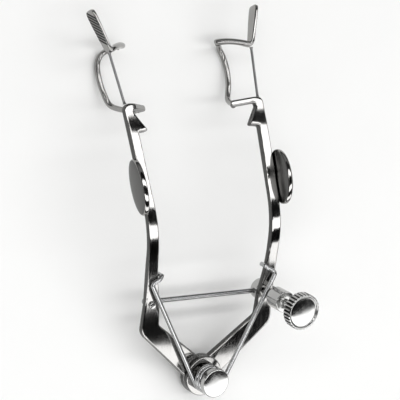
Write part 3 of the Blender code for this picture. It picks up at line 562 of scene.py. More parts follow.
right_arm = arm_shape(RIGHT)
lock_hole = moved(round_bar(LOCK_NECK_RADIUS + RUNNING_GAP, -ARM_THICKNESS, ARM_THICKNESS),
                  Matrix.Translation((LOCK_X, LINK_Y, 0.0)))
right_arm = worked(right_arm, lock_hole)
# The narrow sides take the second, darker material, which is painted shade.
refinish(right_arm, is_side)
finished("right_arm_shown", right_arm, PIVOT, [plated_arms, sides_with_painted_shade], "right_half")

left_arm = sided(arm_shape(LEFT), LEFT)
pin_place = Matrix.Translation((-ROD_PIN_X, LINK_Y, 0.0))
pin_sink = round_bar(ROD_PIN_HEAD_RADIUS + SEAT_GAP, HALF_ARM - ROD_PIN_HEAD_HEIGHT, ARM_THICKNESS, 48)
left_arm = worked(left_arm, moved(pin_sink, pin_place))
pin_hole = round_bar(ROD_PIN_RADIUS + SEAT_GAP, -ARM_THICKNESS, ARM_THICKNESS, 48)
left_arm = worked(left_arm, moved(pin_hole, pin_place))
# The narrow sides take the second, darker material, which is painted shade.
refinish(left_arm, is_side)
finished("left_arm_shown", left_arm, PIVOT, [plated_arms, sides_with_painted_shade], "left_half")


# Finger plates
# An oval steel plate is brazed on the outer side of each shaft, where thumb and finger press. It
# leans out a little at the top. Its thick round edge is polished as brightly as the arm, and its
# faces are painted much darker, as painted shade.

PLATE_LENGTH = 0.0126
PLATE_HEIGHT = 0.0066
PLATE_THICKNESS = 0.0015
PLATE_POSITION = 0.0442
PLATE_RAISE = 0.0012
PLATE_LEAN = math.radians(8.0)
PLATE_EDGE = 0.0005
PLATE_CROWN = 0.00018
PLATE_CROWN_PLACE = 0.62
PLATE_CROWN_FALL = 0.35
PLATE_RIM_ANGLE = math.radians(50.0)
PLATE_FACE_LIMIT = 0.85

# The plates' broad faces get a dark colour, which is painted shade.
plate_faces_painted_shade = polished_plate("polished_oval_plate_painted_shade", -TILT + BEND_ANGLE, 0.16, "#5A5A59", "#666665")
edge_rise = shaft_edge(SHAFT_LENGTH, 1) - shaft_edge(BEND_START, 1)
edge_turn = math.atan2(edge_rise, SHAFT_LENGTH - BEND_START)
stand = Matrix.Rotation(math.pi, 4, "X") @ Matrix.Rotation(math.pi / 2 - PLATE_LEAN, 4, "Y")
stand_off = SEAT_GAP + (HALF_ARM + PLATE_RAISE) * math.tan(PLATE_LEAN)
plate_at = (shaft_edge(PLATE_POSITION, 1) + stand_off, PLATE_POSITION - BLADE_START, PLATE_RAISE)

for side, half in ((LEFT, "left"), (RIGHT, "right")):
    bm = turned([
        (0.0, PLATE_THICKNESS, 0.0),
        (PLATE_CROWN_PLACE, PLATE_THICKNESS - PLATE_CROWN * PLATE_CROWN_FALL, 0.0),
        (1.0, PLATE_THICKNESS - PLATE_CROWN, 0.0), (1.0, 0.0, 0.0), (0.0, 0.0, 0.0)])
    bmesh.ops.scale(bm, verts=bm.verts, vec=(PLATE_HEIGHT / 2, PLATE_LENGTH / 2, 1.0))
    rims = [edge for edge in bm.edges if edge.calc_face_angle(0.0) > PLATE_RIM_ANGLE]
    bmesh.ops.bevel(
        bm, geom=rims, offset=PLATE_EDGE, offset_type="OFFSET", segments=6, profile=0.5,
        affect="EDGES", material=-1, clamp_overlap=False)
    # The broad faces take the dark colour of painted shade.
    refinish(bm, lambda face: abs(face.normal.z) > PLATE_FACE_LIMIT)
    moved(bm, Matrix.Translation(plate_at) @ Matrix.Rotation(-edge_turn, 4, "Z") @ stand)
    finished(half + "_finger_plate_shown", sided(bm, side), BLADE, [plated_arms, plate_faces_painted_shade],
             half + "_half")


# Suture posts and far bands
# The end of each blade is one hammered steel piece: a slim upright post, which turns in at its foot
# as a band to the lid wire. It is polished all over, and then slanting grooves are filed across
# the post's outer face to hold a stitch.

BLADE_LENGTH = 0.0125
POST_LENGTH = 0.0088
POST_HEIGHT = 0.0030
POST_THICKNESS = 0.00085
POST_SPLAY = math.radians(18.0)
POST_DROP = 0.0007
POST_OFFSET_X = 0.0018
POST_OFFSET_Y = 0.0008
POST_CORNER_RADIUS = 0.0011
POST_ROOT_SHARE = 0.76
POST_ROUNDNESS = 0.38
BAND_ROUNDNESS = 0.49
FAR_BAND_HEIGHT = 0.0017
FAR_BAND_INNER_X = 0.0122
FAR_BAND_DROP = 0.0045
FAR_BAND_ADVANCE = 0.0020
FAR_BAND_BOW = 0.0004
FAR_BAND_FALL = 1.15
FAR_BAND_TWIST = 0.35
SERRATION_COUNT = 9
SERRATION_DEPTH = 0.0002
SERRATION_LEAN = math.radians(40.0)
SERRATED_SHARE = 0.82
SERRATION_START = 1.6
GROOVE_MATCH = 0.05

# How thick and how high the post and the band are, by the share along each.
POST_TAPER = ((1.0, 0.35), (0.985, 0.68), (0.95, 0.92), (0.88, 1.03), (0.55, 1.0), (0.2, 0.86),
              (0.05, 0.78))
POST_END = ((1.0, 0.30), (0.996, 0.55), (0.985, 0.80), (0.96, 0.95), (0.93, 1.0), (0.0, 1.0))
FAR_BAND_TAPER = ((0.0, 1.0), (0.85, 1.0), (0.93, 0.93), (0.97, 0.78), (0.99, 0.55), (1.0, 0.30))

POST_FOOT = Vector(
    (SHAFT_END_X + POST_OFFSET_X, BAND_TOP_Y + BLADE_LENGTH + POST_OFFSET_Y, -POST_DROP))
POST_DIRECTION = Vector((math.sin(POST_SPLAY), math.cos(POST_SPLAY), 0.0))
POST_ACROSS = Vector((math.cos(POST_SPLAY), -math.sin(POST_SPLAY), 0.0))
POST_AXES = Matrix((POST_ACROSS, POST_DIRECTION, Vector((0, 0, 1)))).transposed()
CORNER_CENTRE = POST_FOOT - POST_ACROSS * POST_CORNER_RADIUS
FAR_BAND_START = CORNER_CENTRE + Vector((0, -POST_CORNER_RADIUS, 0))
FAR_BAND_RUN = FAR_BAND_START.x - FAR_BAND_INNER_X
FAR_BAND_SLOPE = math.atan2(FAR_BAND_DROP, FAR_BAND_RUN)
FAR_BAND_UP = Vector((-math.sin(FAR_BAND_SLOPE), 0.0, math.cos(FAR_BAND_SLOPE)))
GROOVE_AXES = POST_AXES @ Matrix.Rotation(SERRATION_LEAN, 3, "X")


def far_band_centre(share):
    """The middle of the far band, from the post's corner (0) to its inner end (1)."""
    advance = FAR_BAND_ADVANCE * share + FAR_BAND_BOW * math.sin(math.pi * share)
    drop = FAR_BAND_DROP * share ** FAR_BAND_FALL
    return FAR_BAND_START + Vector((-FAR_BAND_RUN * share, advance, -drop))


def size_at(share, table):
    """A size between the ones of a table, by the share along the piece."""
    rows = sorted(table)
    for (low, small), (high, large) in zip(rows, rows[1:]):
        if share <= high:
            blend = max(0.0, (share - low) / (high - low))
            return small + (large - small) * blend
    return rows[-1][1]


def bar_ring(bm, centre, across, up, thickness, height, roundness):
    """One cross section of a bar, a rectangle with round corners, as a ring of edges."""
    radius = roundness * min(thickness, height)
    half_x = thickness / 2
    half_z = height / 2
    corners = [(half_x, half_z, radius), (-half_x, half_z, radius), (-half_x, -half_z, radius),
               (half_x, -half_z, radius)]
    ring = [bm.verts.new(centre + across * x + up * z) for x, z in rounded(corners, 5)]
    return [bm.edges.new((ring[index - 1], ring[index])) for index in range(len(ring))]


def suture_post_shape():
    """A right suture post and far band, bridged through its cross sections from tip to end."""
    bm = bmesh.new()
    up = Vector((0, 0, 1))
    rings = []
    shares = [1.0, 0.996, 0.985, 0.97, 0.95] + [0.92 - 0.06 * step for step in range(15)]
    for share in shares:
        centre = POST_FOOT + POST_DIRECTION * (POST_LENGTH * share)
        thickness = POST_THICKNESS * size_at(share, POST_END)
        height = POST_HEIGHT * size_at(share, POST_TAPER)
        rings.append(bar_ring(bm, centre, POST_ACROSS, up, thickness, height, POST_ROUNDNESS))
    for step in range(1, 10):
        share = step / 10
        across = Matrix.Rotation(-(math.pi / 2 - POST_SPLAY) * share, 3, "Z") @ POST_ACROSS
        height = POST_HEIGHT * POST_ROOT_SHARE * (1 - share) + FAR_BAND_HEIGHT * share
        thickness = POST_THICKNESS * (1 - share) + BAND_WIDTH * share
        centre = CORNER_CENTRE + across * POST_CORNER_RADIUS
        roundness = POST_ROUNDNESS + (BAND_ROUNDNESS - POST_ROUNDNESS) * share
        rings.append(bar_ring(bm, centre, across, up, thickness, height, roundness))
    across = Vector((0, -1, 0))
    for share in [0.12 + 0.07 * step for step in range(11)] + [0.88, 0.93, 0.97, 0.99, 1.0]:
        size = size_at(share, FAR_BAND_TAPER)
        blend = min(1.0, share / FAR_BAND_TWIST)
        lean = Matrix.Rotation(-FAR_BAND_SLOPE * blend, 3, "Y") @ up
        centre = far_band_centre(share)
        rings.append(bar_ring(
            bm, centre, across, lean, BAND_WIDTH * size, FAR_BAND_HEIGHT * size, BAND_ROUNDNESS))
    for near, far in zip(rings, rings[1:]):
        bmesh.ops.bridge_loops(bm, edges=near + far)
    bmesh.ops.holes_fill(bm, edges=rings[0] + rings[-1], sides=0)
    bmesh.ops.recalc_face_normals(bm, faces=bm.faces)
    return bm


def serrations():
    """The slanting V-cuts across the post's outer face, as one set of square bars."""
    spacing = POST_LENGTH * SERRATED_SHARE / SERRATION_COUNT
    outer_face = POST_FOOT + POST_ACROSS * (POST_THICKNESS / 2)
    bm = bmesh.new()
    for index in range(SERRATION_COUNT):
        centre = outer_face + POST_DIRECTION * (spacing * (index + SERRATION_START))
        place = Matrix.Translation(centre) @ GROOVE_AXES.to_4x4()
        bmesh.ops.create_cone(
            bm, cap_ends=True, segments=4, radius1=SERRATION_DEPTH, radius2=SERRATION_DEPTH,
            depth=2 * POST_HEIGHT, matrix=place)
    return bm


def filed_groove_shade_finish():
    """The floor of a filed or milled groove, which no polishing wheel reaches: rougher steel with the
    scratches of the file, painted near black as painted shade in the groove. It makes the teeth stand
    out as dark strokes."""
    material, tree, shader = new_material("filed_groove_steel_painted_shade")
    where = add_node(tree, "ShaderNodeTexCoord", {})
    scratches = add_node(
        tree, "ShaderNodeTexNoise", {"Vector": where.outputs["Object"], "Scale": 9000.0, "Detail": 3.0})
    tone = two_tones(tree, scratches.outputs["Fac"], "#1C1C1B", "#30302F")
    tree.links.new(tone, shader.inputs["Base Color"])
    shader.inputs["Roughness"].default_value = 0.55
    shader.inputs["Metallic"].default_value = 1.0
    return material


blade_steel = polished_plate("polished_blade_steel", -TILT + BEND_ANGLE, 0.10)
# Near-black colour, painted shade, for the serrations' grooves and the knurl's valleys.
groove_shade_steel = filed_groove_shade_finish()
groove_walls = [GROOVE_AXES @ Vector((1.0, lean, 0.0)).normalized() for lean in (-1.0, 1.0)]

for side, half in ((LEFT, "left"), (RIGHT, "right")):
    bm = worked(suture_post_shape(), serrations())
    # The groove walls take the near-black painted shade.
    refinish(
        bm, lambda face: min((face.normal - wall).length for wall in groove_walls) < GROOVE_MATCH)
    bm = sided(bm, side)
    finished(half + "_suture_post_shown", bm, BLADE, [blade_steel, groove_shade_steel], half + "_half")


# Lid wires
# A thick round wire cradles the lid in a deep bow. It is bent to shape, brazed under the end band
# and the far band, and polished with the blade, so each end swells into a small collar of braze.

LID_WIRE_RADIUS = 0.00064
LID_WIRE_DEPTH = 0.00948
LID_WIRE_REACH = 0.0172
LID_WIRE_STRAIGHT = 0.0012
LID_WIRE_TURN_IN = 2.5
NEAR_FLOOR = ((-0.0015, 0.0021, 0.0003), (-0.0004, 0.0055, 0.0), (0.0, 0.0089, 0.0))
FAR_FLOOR = ((-0.0003, -0.0026, 0.0), (-0.0015, -0.0006, 0.0008))
BRAZE_SWELL = 0.22
BRAZE_LENGTH = 0.0005
CURVE_STEPS = 16


def smooth_path(points, steps):
    """Points on a smooth curve through the given ones."""
    ends = [2 * points[0] - points[1]] + list(points) + [2 * points[-1] - points[-2]]
    path = []
    for a, b, c, d in zip(ends, ends[1:], ends[2:], ends[3:]):
        for step in range(steps):
            t = step / steps
            path.append(0.5 * (2 * b + (c - a) * t + (2 * a - 5 * b + 4 * c - d) * t * t
                               + (3 * b - a - 3 * c + d) * t ** 3))
    return path + [points[-1].copy()]


def wire_shape(path, radius, swell):
    """A round wire along a path, as a mesh. swell gives its size for a distance from the near end."""
    curve = bpy.data.curves.new("wire", "CURVE")
    curve.dimensions = "3D"
    curve.bevel_depth = radius
    curve.bevel_resolution = 6
    curve.use_fill_caps = True
    spline = curve.splines.new("POLY")
    spline.points.add(len(path) - 1)
    lengths = [0.0]
    for here, after in zip(path, path[1:]):
        lengths.append(lengths[-1] + (after - here).length)
    for point, place, length in zip(spline.points, path, lengths):
        point.co = (*place, 1.0)
        point.radius = swell(min(length, lengths[-1] - length))
    item = bpy.data.objects.new("wire", curve)
    bpy.context.scene.collection.objects.link(item)
    graph = bpy.context.evaluated_depsgraph_get()
    mesh = bpy.data.meshes.new_from_object(item.evaluated_get(graph))
    bpy.data.objects.remove(item, do_unlink=True)
    bm = bmesh.new()
    bm.from_mesh(mesh)
    bmesh.ops.remove_doubles(bm, verts=bm.verts, dist=1e-7)
    bmesh.ops.recalc_face_normals(bm, faces=bm.faces)
    return bm


def brazed(swell):
    """The size of a wire that swells into the braze at its ends."""
    return lambda length: 1.0 + swell * max(0.0, 1.0 - length / BRAZE_LENGTH) ** 2


def lid_wire_path():
    """The right lid wire: down from the end band, along the lid, and up to the far band."""
    curl_run = BAND_CURL_START - BAND_INNER_X - BAND_WIDTH / 2
    inward, drop = bent(curl_run, -HALF_ARM - SEAT_GAP, 0.0, BAND_CURL_RADIUS, BAND_CURL_ANGLE)
    near = Vector((BAND_CURL_START - inward, BAND_CENTRE_Y, drop))
    near_down = Vector((math.sin(BAND_CURL_ANGLE), 0.0, -math.cos(BAND_CURL_ANGLE)))
    far = far_band_centre(0.9) - FAR_BAND_UP * (FAR_BAND_HEIGHT / 2 + SEAT_GAP)
    near_floor = Vector((LID_WIRE_REACH, BAND_TOP_Y, -LID_WIRE_DEPTH))
    far_floor = Vector((LID_WIRE_REACH, far.y, -LID_WIRE_DEPTH))
    points = [near, near + near_down * LID_WIRE_STRAIGHT]
    turn_in = near + near_down * (LID_WIRE_TURN_IN * LID_WIRE_STRAIGHT)
    points += [turn_in + Vector((0, LID_WIRE_RADIUS, 0))]
    points += [near_floor + Vector(step) for step in NEAR_FLOOR]
    points += [far_floor + Vector(step) for step in FAR_FLOOR]
    points += [far - FAR_BAND_UP * LID_WIRE_STRAIGHT, far]
    return smooth_path(points, CURVE_STEPS)


bow_steel = polished_plate("polished_bow_wire", -TILT + BEND_ANGLE, 0.18)

for side, half in ((LEFT, "left"), (RIGHT, "right")):
    bm = wire_shape(lid_wire_path(), LID_WIRE_RADIUS, brazed(BRAZE_SWELL))
    finished(half + "_lid_wire_shown", sided(bm, side), BLADE, [bow_steel], half + "_half")


# Guard wires
# A thin wire runs straight from the arm's end to the foot of the suture post and keeps the lashes
# out of the eye. It is left as drawn, a little dull, and both ends are brazed.

GUARD_WIRE_RADIUS = 0.00029
GUARD_WIRE_INSET = 0.0003
GUARD_BRAZE_SWELL = 0.5
GUARD_STEPS = 40


def drawn_wire(name, turn_back, stretch_by, shine, dark, light):
    """Drawn spring steel: a cool bright grey with faint lines from the die along its length. The
    lines are drawn 0.12 mm apart, coarser than the real ones, so that they show."""
    material, tree, shader = new_material(name)
    where, die = along_grain(tree, turn_back, stretch_by)
    lines = add_node(
        tree, "ShaderNodeTexNoise", {"Vector": die, "Scale": 8000.0, "Detail": 2.0})
    patches = add_node(tree, "ShaderNodeTexNoise", {"Vector": where, "Scale": 420.0})
    finish_metal(
        tree, shader, (lines.outputs["Fac"], 0.3, 0.7, shine, shine + 0.1),
        (patches.outputs["Fac"], dark, light), (lines.outputs["Fac"], 0.1, 0.000002))
    return material


guard_steel = drawn_wire(
    "drawn_guard_wire", -TILT + BEND_ANGLE, (1.0, 0.1, 1.0), 0.3, "#7E7F80", "#8A8A8A")

for side, half in ((LEFT, "left"), (RIGHT, "right")):
    near = Vector((SHAFT_END_X + GUARD_WIRE_INSET, BAND_TOP_Y + SEAT_GAP, -GUARD_WIRE_INSET))
    far_y = FAR_BAND_START.y - BAND_WIDTH / 2 - SEAT_GAP
    far = Vector((POST_FOOT.x - GUARD_WIRE_INSET, far_y, POST_FOOT.z))
    path = [near.lerp(far, step / GUARD_STEPS) for step in range(GUARD_STEPS + 1)]
    bm = wire_shape(path, GUARD_WIRE_RADIUS, brazed(GUARD_BRAZE_SWELL))
    finished(half + "_guard_wire_shown", sided(bm, side), BLADE, [guard_steel], half + "_half")


# Torsion spring
# Two and a third turns of round drawn spring wire sit on the knuckles under the screw head. Each
# straight leg runs out over its arm and hooks down inside it, so the spring pushes the arms apart.

SPRING_WIRE_RADIUS = 0.0005
SPRING_COIL_RADIUS = 0.0029
SPRING_TURNS = 2
SPRING_COIL_GAP = 0.00006
HOOK_X = 0.0164
HOOK_Y = 0.0230
HOOK_REACH_Y = 0.0016
HOOK_DEPTH = 0.0012
HOOK_LIFT = 0.0001
COIL_STEPS = 160
CUT_END = 0.0002
CUT_END_SIZE = 0.2

LEG_ANGLE = math.atan2(HOOK_Y, HOOK_X) - math.acos(SPRING_COIL_RADIUS / math.hypot(HOOK_X, HOOK_Y))
COIL_LOW = KNUCKLE_HEIGHT + SEAT_GAP + SPRING_WIRE_RADIUS
COIL_START = math.pi - LEG_ANGLE
COIL_SWEEP = 2 * math.pi * SPRING_TURNS + 2 * math.pi + LEG_ANGLE - COIL_START
COIL_PITCH = 2 * SPRING_WIRE_RADIUS + SPRING_COIL_GAP
COIL_HIGH = COIL_LOW + COIL_PITCH * COIL_SWEEP / (2 * math.pi)


def spring_leg(side, coil_height):
    """Points of one leg, from the coil to the tip that turns down inside the arm. The hook's bends
    are set out in thicknesses of the wire, which is how far it turns."""
    angle = LEG_ANGLE if side == RIGHT else math.pi - LEG_ANGLE
    root = Vector((math.cos(angle), math.sin(angle), 0.0)) * SPRING_COIL_RADIUS
    root.z = coil_height
    over_arm = HALF_ARM + SEAT_GAP + SPRING_WIRE_RADIUS
    turn = 2 * SPRING_WIRE_RADIUS
    bend = Vector((side * HOOK_X, HOOK_Y, over_arm + HOOK_LIFT))
    tip_y = HOOK_Y + HOOK_REACH_Y
    tip_x = shaft_edge(tip_y - turn, -1) - SPRING_WIRE_RADIUS - SEAT_GAP
    edge = Vector((side * (tip_x + 0.6 * turn), tip_y - 0.5 * turn, over_arm))
    down = Vector((side * tip_x, tip_y, over_arm - 0.8 * turn))
    tip = Vector((side * tip_x, tip_y, over_arm - turn - HOOK_DEPTH))
    before = bend.lerp(root, turn / (bend - root).length)
    after = bend.lerp(edge, 0.35)
    points = [root.lerp(before, step / 6) for step in range(1, 6)]
    hook = [before, bend + (before + after - 2 * bend) * 0.25, after, edge.lerp(after, 0.3)]
    hook += [edge + Vector((0, 0, -0.12 * turn)), down + Vector((0, 0, 0.25 * turn)), down, tip]
    return points + hook


coil = []
for step in range(COIL_STEPS + 1):
    angle = COIL_START + COIL_SWEEP * step / COIL_STEPS
    height = COIL_LOW + (COIL_HIGH - COIL_LOW) * step / COIL_STEPS
    across = Vector((math.cos(angle), math.sin(angle), 0.0)) * SPRING_COIL_RADIUS
    coil.append(across + Vector((0.0, 0.0, height)))
left_leg = smooth_path([coil[0]] + spring_leg(LEFT, COIL_LOW), 8)
right_leg = smooth_path([coil[-1]] + spring_leg(RIGHT, COIL_HIGH), 8)
spring_path = list(reversed(left_leg[1:])) + coil + right_leg[1:]
bm = wire_shape(
    spring_path, SPRING_WIRE_RADIUS,
    lambda length: math.sqrt(max(CUT_END_SIZE, 1.0 - max(0.0, 1.0 - length / CUT_END) ** 2)))
wire_steel = drawn_wire("drawn_spring_wire", -TILT, (1.0, 0.1, 1.0), 0.14, "#A6A7A8", "#B2B2B2")
finished("torsion_spring_shown", bm, PIVOT, [wire_steel], "left_half")


# Pivot screw and nut
# The screw is turned from bar, with a broad, slightly domed and polished head over the spring, and
# a thin round nut, slotted for a screwdriver, holds it below the knuckles.

PIVOT_HEAD_RADIUS = 0.00335
PIVOT_HEAD_HEIGHT = 0.0015
PIVOT_HEAD_DOME = ((0.0, 0.0), (0.0012, 0.00001), (0.0021, 0.00004), (PIVOT_HEAD_RADIUS, 0.00013))
PIVOT_HEAD_ROUNDING = 0.0003
PIVOT_NUT_RADIUS = 0.0030
PIVOT_NUT_HEIGHT = 0.0011
NUT_SLOT_WIDTH = 0.0007
NUT_SLOT_DEPTH = 0.0004
HEAD_SEAT = COIL_HIGH + SPRING_WIRE_RADIUS + SEAT_GAP
NUT_TOP = -KNUCKLE_HEIGHT - SEAT_GAP


def turned_steel(name, place):
    """Turned and polished steel: a mirror crossed by fine rings from the lathe tool, round the
    piece's own axis. The rings are drawn 0.16 mm apart, coarser than the real feed, to show."""
    material, tree, shader = new_material(name)
    where = add_node(tree, "ShaderNodeTexCoord", {}).outputs["Object"]
    back = place.inverted()
    centred = add_node(
        tree, "ShaderNodeMapping",
        {"Vector": where, "Location": back.to_translation(), "Rotation": back.to_euler()})
    rings = add_node(
        tree, "ShaderNodeTexWave",
        {"Vector": centred.outputs["Vector"], "Scale": 2000.0, "Distortion": 0.6, "Detail": 2.0,
         "Detail Scale": 1.5},
        wave_type="RINGS", rings_direction="Z")
    veil = add_node(tree, "ShaderNodeTexNoise", {"Vector": where, "Scale": 350.0})
    finish_metal(
        tree, shader, (veil.outputs["Fac"], 0.3, 0.7, 0.1, 0.2),
        (veil.outputs["Fac"], "#AFAFAE", "#BABAB9"), (rings.outputs["Fac"], 0.15, 0.000003))
    return material


def slot_cutter(length, width, depth, turn, height):
    """A block that cuts a screwdriver slot, turned round the screw's axis."""
    slot = bmesh.new()
    bmesh.ops.create_cube(slot, size=1.0)
    bmesh.ops.scale(slot, verts=slot.verts, vec=(length, width, depth))
    bmesh.ops.rotate(slot, verts=slot.verts, matrix=Matrix.Rotation(turn, 3, "Z"))
    bmesh.ops.translate(slot, verts=slot.verts, vec=(0.0, 0.0, height))
    return slot


pivot_steel = turned_steel("turned_steel_pivot", PIVOT)
head_top = HEAD_SEAT + PIVOT_HEAD_HEIGHT
screw_end = NUT_TOP - PIVOT_NUT_HEIGHT
dome = [(radius, head_top - fall, 0.0) for radius, fall in PIVOT_HEAD_DOME[:-1]]
rim_radius, rim_fall = PIVOT_HEAD_DOME[-1]
bm = turned(dome + [
    (rim_radius, head_top - rim_fall, PIVOT_HEAD_ROUNDING), (PIVOT_HEAD_RADIUS, HEAD_SEAT, 0.00015),
    (PIVOT_SHANK_RADIUS, HEAD_SEAT, 0.0), (PIVOT_SHANK_RADIUS, screw_end, 0.0002),
    (0.0, screw_end, 0.0)], 128)
finished("pivot_screw_shown", bm, PIVOT, [pivot_steel], "left_half")

inner = PIVOT_SHANK_RADIUS + SEAT_GAP
bm = turned([
    (inner, NUT_TOP, 0.0), (PIVOT_NUT_RADIUS, NUT_TOP, 0.0001), (PIVOT_NUT_RADIUS, screw_end, 0.0002),
    (inner, screw_end, 0.0001)], 128)
slot = slot_cutter(3 * PIVOT_NUT_RADIUS, NUT_SLOT_WIDTH, 2 * NUT_SLOT_DEPTH, 0.0, screw_end)
finished("pivot_nut_shown", worked(bm, slot), PIVOT, [pivot_steel], "left_half")


# Cross rod and its pin
# The rod is a straight drawn bar with a flat-topped eye. A small slotted screw, sunk flush in the
# left arm, is its swivel.

ROD_RADIUS = 0.00056
ROD_DROP = 0.00095
ROD_END_X = 0.0190
ROD_EYE_RADIUS = 0.0009
ROD_EYE_LIP = 0.0001
ROD_PIN_PROUD = 0.0001
ROD_PIN_TAIL = 0.0003
ROD_PIN_SLOT = 0.0003
ROD_PIN_SLOT_TURN = math.radians(40.0)
ROD_HEIGHT = -HALF_ARM - ROD_DROP
BARREL_TOP = -HALF_ARM - RUNNING_GAP

rod_steel = drawn_wire("drawn_bar_steel", -TILT, (0.1, 1.0, 1.0), 0.14, "#8A8B8C", "#969696")
along_x = Matrix.Translation((0.0, 0.0, ROD_HEIGHT)) @ Matrix.Rotation(math.pi / 2, 4, "Y")
rod_length = ROD_END_X + ROD_PIN_X
bm = turned([
    (0.0, rod_length, 0.0), (ROD_RADIUS, rod_length, 0.00018), (ROD_RADIUS, 0.0, 0.0),
    (0.0, 0.0, 0.0)], 64)
eye_low = ROD_HEIGHT - ROD_RADIUS - ROD_EYE_LIP
eye = turned([
    (0.0, BARREL_TOP, 0.0), (ROD_EYE_RADIUS, BARREL_TOP, 0.00015), (ROD_EYE_RADIUS, eye_low, 0.00025),
    (0.0, eye_low, 0.0)], 64)
bm = worked(moved(bm, along_x), eye, "UNION")
bm = worked(bm, round_bar(ROD_PIN_RADIUS + RUNNING_GAP, 2 * ROD_HEIGHT, 0.0, 48))
finished("cross_rod_shown", bm, PIN, [rod_steel], "rod")

pin_low = ROD_HEIGHT - ROD_RADIUS - ROD_PIN_TAIL
pin_top = HALF_ARM + ROD_PIN_PROUD
pin_seat = HALF_ARM - ROD_PIN_HEAD_HEIGHT + SEAT_GAP
bm = turned([
    (0.0, pin_top, 0.0), (ROD_PIN_HEAD_RADIUS, pin_top, 0.0002), (ROD_PIN_HEAD_RADIUS, pin_seat, 0.0),
    (ROD_PIN_RADIUS, pin_seat, 0.0), (ROD_PIN_RADIUS, pin_low, 0.0001), (0.0, pin_low, 0.0)], 64)
slot = slot_cutter(
    3 * ROD_PIN_HEAD_RADIUS, ROD_PIN_SLOT, 2 * ROD_PIN_SLOT, ROD_PIN_SLOT_TURN, pin_top)
pin_steel = turned_steel("turned_steel_pin", PIN)
finished("rod_pin_shown", worked(bm, slot), PIN, [pin_steel], "left_half")


# Lock post, collar and thumb screw
# A turned post swivels in the right arm. Its drilled barrel lets the rod slide, a thick collar sits
# on its neck, and the thumb screw goes down through both to clamp the rod. All are turned steel,
# polished except in the valleys of the screw's knurl, which are rougher and painted near black as
# painted shade.

LOCK_BARREL_RADIUS = 0.0024
LOCK_BARREL_HEIGHT = 0.0024
LOCK_DRILL_RADIUS = 0.0005
LOCK_PLUG_RADIUS = 0.0006
COLLAR_RADIUS = 0.00245
COLLAR_START = 0.0033
COLLAR_HEIGHT = 0.0041
COLLAR_LIP = 0.0004
THUMB_SHANK_RADIUS = 0.00072
THUMB_POINT_RADIUS = 0.00036
THUMB_POINT_LENGTH = 0.0003
THUMB_GAP = 0.0049
THUMB_HEAD_RADIUS = 0.00415
THUMB_HEAD_HEIGHT = 0.0023
THUMB_BOSS_RADIUS = 0.00122
THUMB_BOSS_HEIGHT = 0.0004
THUMB_BOSS_SINK = 0.0003
THUMB_RIM_WIDTH = 0.0005
THUMB_DISH = 0.0001
THUMB_DISH_FOOT = 0.93
THUMB_CROWN = 0.00026
THUMB_CROWN_STEP = 0.12
KNURL_COUNT = 30
KNURL_DEPTH = 0.00028
KNURL_SHADED_SHARE = 0.35
KNURL_TOOTH = ((0.0, 1.0), (0.22, 1.0), (0.42, 0.4), (0.5, 0.0), (0.72, 0.0), (0.92, 0.6))
BARREL_LOW = BARREL_TOP - LOCK_BARREL_HEIGHT
COLLAR_TOP = COLLAR_START + COLLAR_HEIGHT
NECK_TOP = COLLAR_TOP - COLLAR_LIP
THUMB_BORE = THUMB_SHANK_RADIUS + RUNNING_GAP

lock_steel = turned_steel("turned_steel_lock", LOCK)

bm = turned([
    (THUMB_BORE, NECK_TOP, 0.0), (LOCK_NECK_RADIUS, NECK_TOP, 0.0), (LOCK_NECK_RADIUS, BARREL_TOP, 0.0),
    (LOCK_BARREL_RADIUS, BARREL_TOP, 0.0002), (LOCK_BARREL_RADIUS, BARREL_LOW, 0.0004),
    (LOCK_DRILL_RADIUS, BARREL_LOW, 0.0), (LOCK_DRILL_RADIUS, ROD_HEIGHT, 0.0),
    (THUMB_BORE, ROD_HEIGHT, 0.0)])
bm = worked(bm, round_bar(LOCK_PLUG_RADIUS, BARREL_LOW, ROD_HEIGHT), "UNION")
reach = 2.5 * LOCK_BARREL_RADIUS
cross_hole = moved(round_bar(ROD_RADIUS + RUNNING_GAP, -reach, reach, 64), along_x)
finished("lock_post_shown", worked(bm, cross_hole), LOCK, [lock_steel], "post")

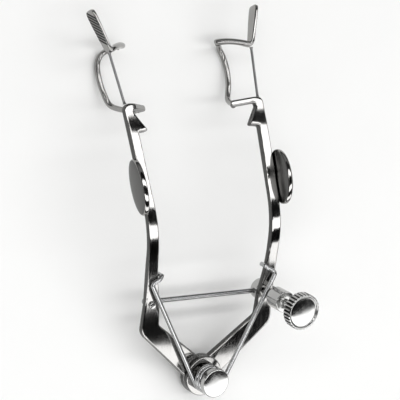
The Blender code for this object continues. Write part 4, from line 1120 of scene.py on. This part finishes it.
collar_bore = LOCK_NECK_RADIUS + SEAT_GAP
lip = NECK_TOP + SEAT_GAP
bm = turned([
    (THUMB_BORE, COLLAR_TOP, 0.0001), (COLLAR_RADIUS, COLLAR_TOP, 0.00025),
    (COLLAR_RADIUS, COLLAR_START, 0.00025), (collar_bore, COLLAR_START, 0.0001),
    (collar_bore, lip, 0.0), (THUMB_BORE, lip, 0.0)])
finished("lock_collar_shown", bm, LOCK, [lock_steel], "post")

head_low = COLLAR_TOP + THUMB_GAP
head_top = head_low + THUMB_HEAD_HEIGHT
point = ROD_HEIGHT + ROD_RADIUS + RUNNING_GAP

# Each tooth of the knurl goes by its share of the way round and its share of the depth.
teeth = []
for index in range(KNURL_COUNT):
    for turn, rise in KNURL_TOOTH:
        angle = 2 * math.pi * (index + turn) / KNURL_COUNT
        reach = THUMB_HEAD_RADIUS - KNURL_DEPTH * (1.0 - rise)
        teeth.append((reach * math.cos(angle), reach * math.sin(angle)))
knurl = flat_plate(teeth, head_low - 0.001, head_top + 0.001)
dish = THUMB_HEAD_RADIUS - THUMB_RIM_WIDTH
crown = [(dish * share, head_top - THUMB_DISH - THUMB_CROWN * share ** 2, 0.0)
         for share in (THUMB_CROWN_STEP * step for step in range(8))]
bm = turned(crown + [
    (dish * THUMB_DISH_FOOT, head_top - THUMB_DISH - THUMB_CROWN, 0.0002), (dish, head_top, 0.0002),
    (THUMB_HEAD_RADIUS, head_top, 0.0003), (THUMB_HEAD_RADIUS, head_low, 0.0003),
    (0.0, head_low, 0.0)], 128)
bm = worked(knurl, bm, "INTERSECT")
# The knurl's valleys take the near-black painted shade.
groove_reach = THUMB_HEAD_RADIUS - KNURL_SHADED_SHARE * KNURL_DEPTH
refinish(
    bm, lambda face: abs(face.normal.z) < 0.3
    and face.calc_center_median().xy.length < groove_reach)
boss_low = head_low - THUMB_BOSS_HEIGHT
boss_top = head_low + THUMB_BOSS_SINK
shank = turned([
    (0.0, boss_top, 0.0), (THUMB_BOSS_RADIUS, boss_top, 0.0), (THUMB_BOSS_RADIUS, boss_low, 0.0001),
    (THUMB_SHANK_RADIUS, boss_low, 0.0), (THUMB_SHANK_RADIUS, point + THUMB_POINT_LENGTH, 0.0),
    (THUMB_POINT_RADIUS, point, 0.0), (0.0, point, 0.0)])
finished("thumb_screw_shown", worked(bm, shank, "UNION"), LOCK, [lock_steel, groove_shade_steel], "thumb")
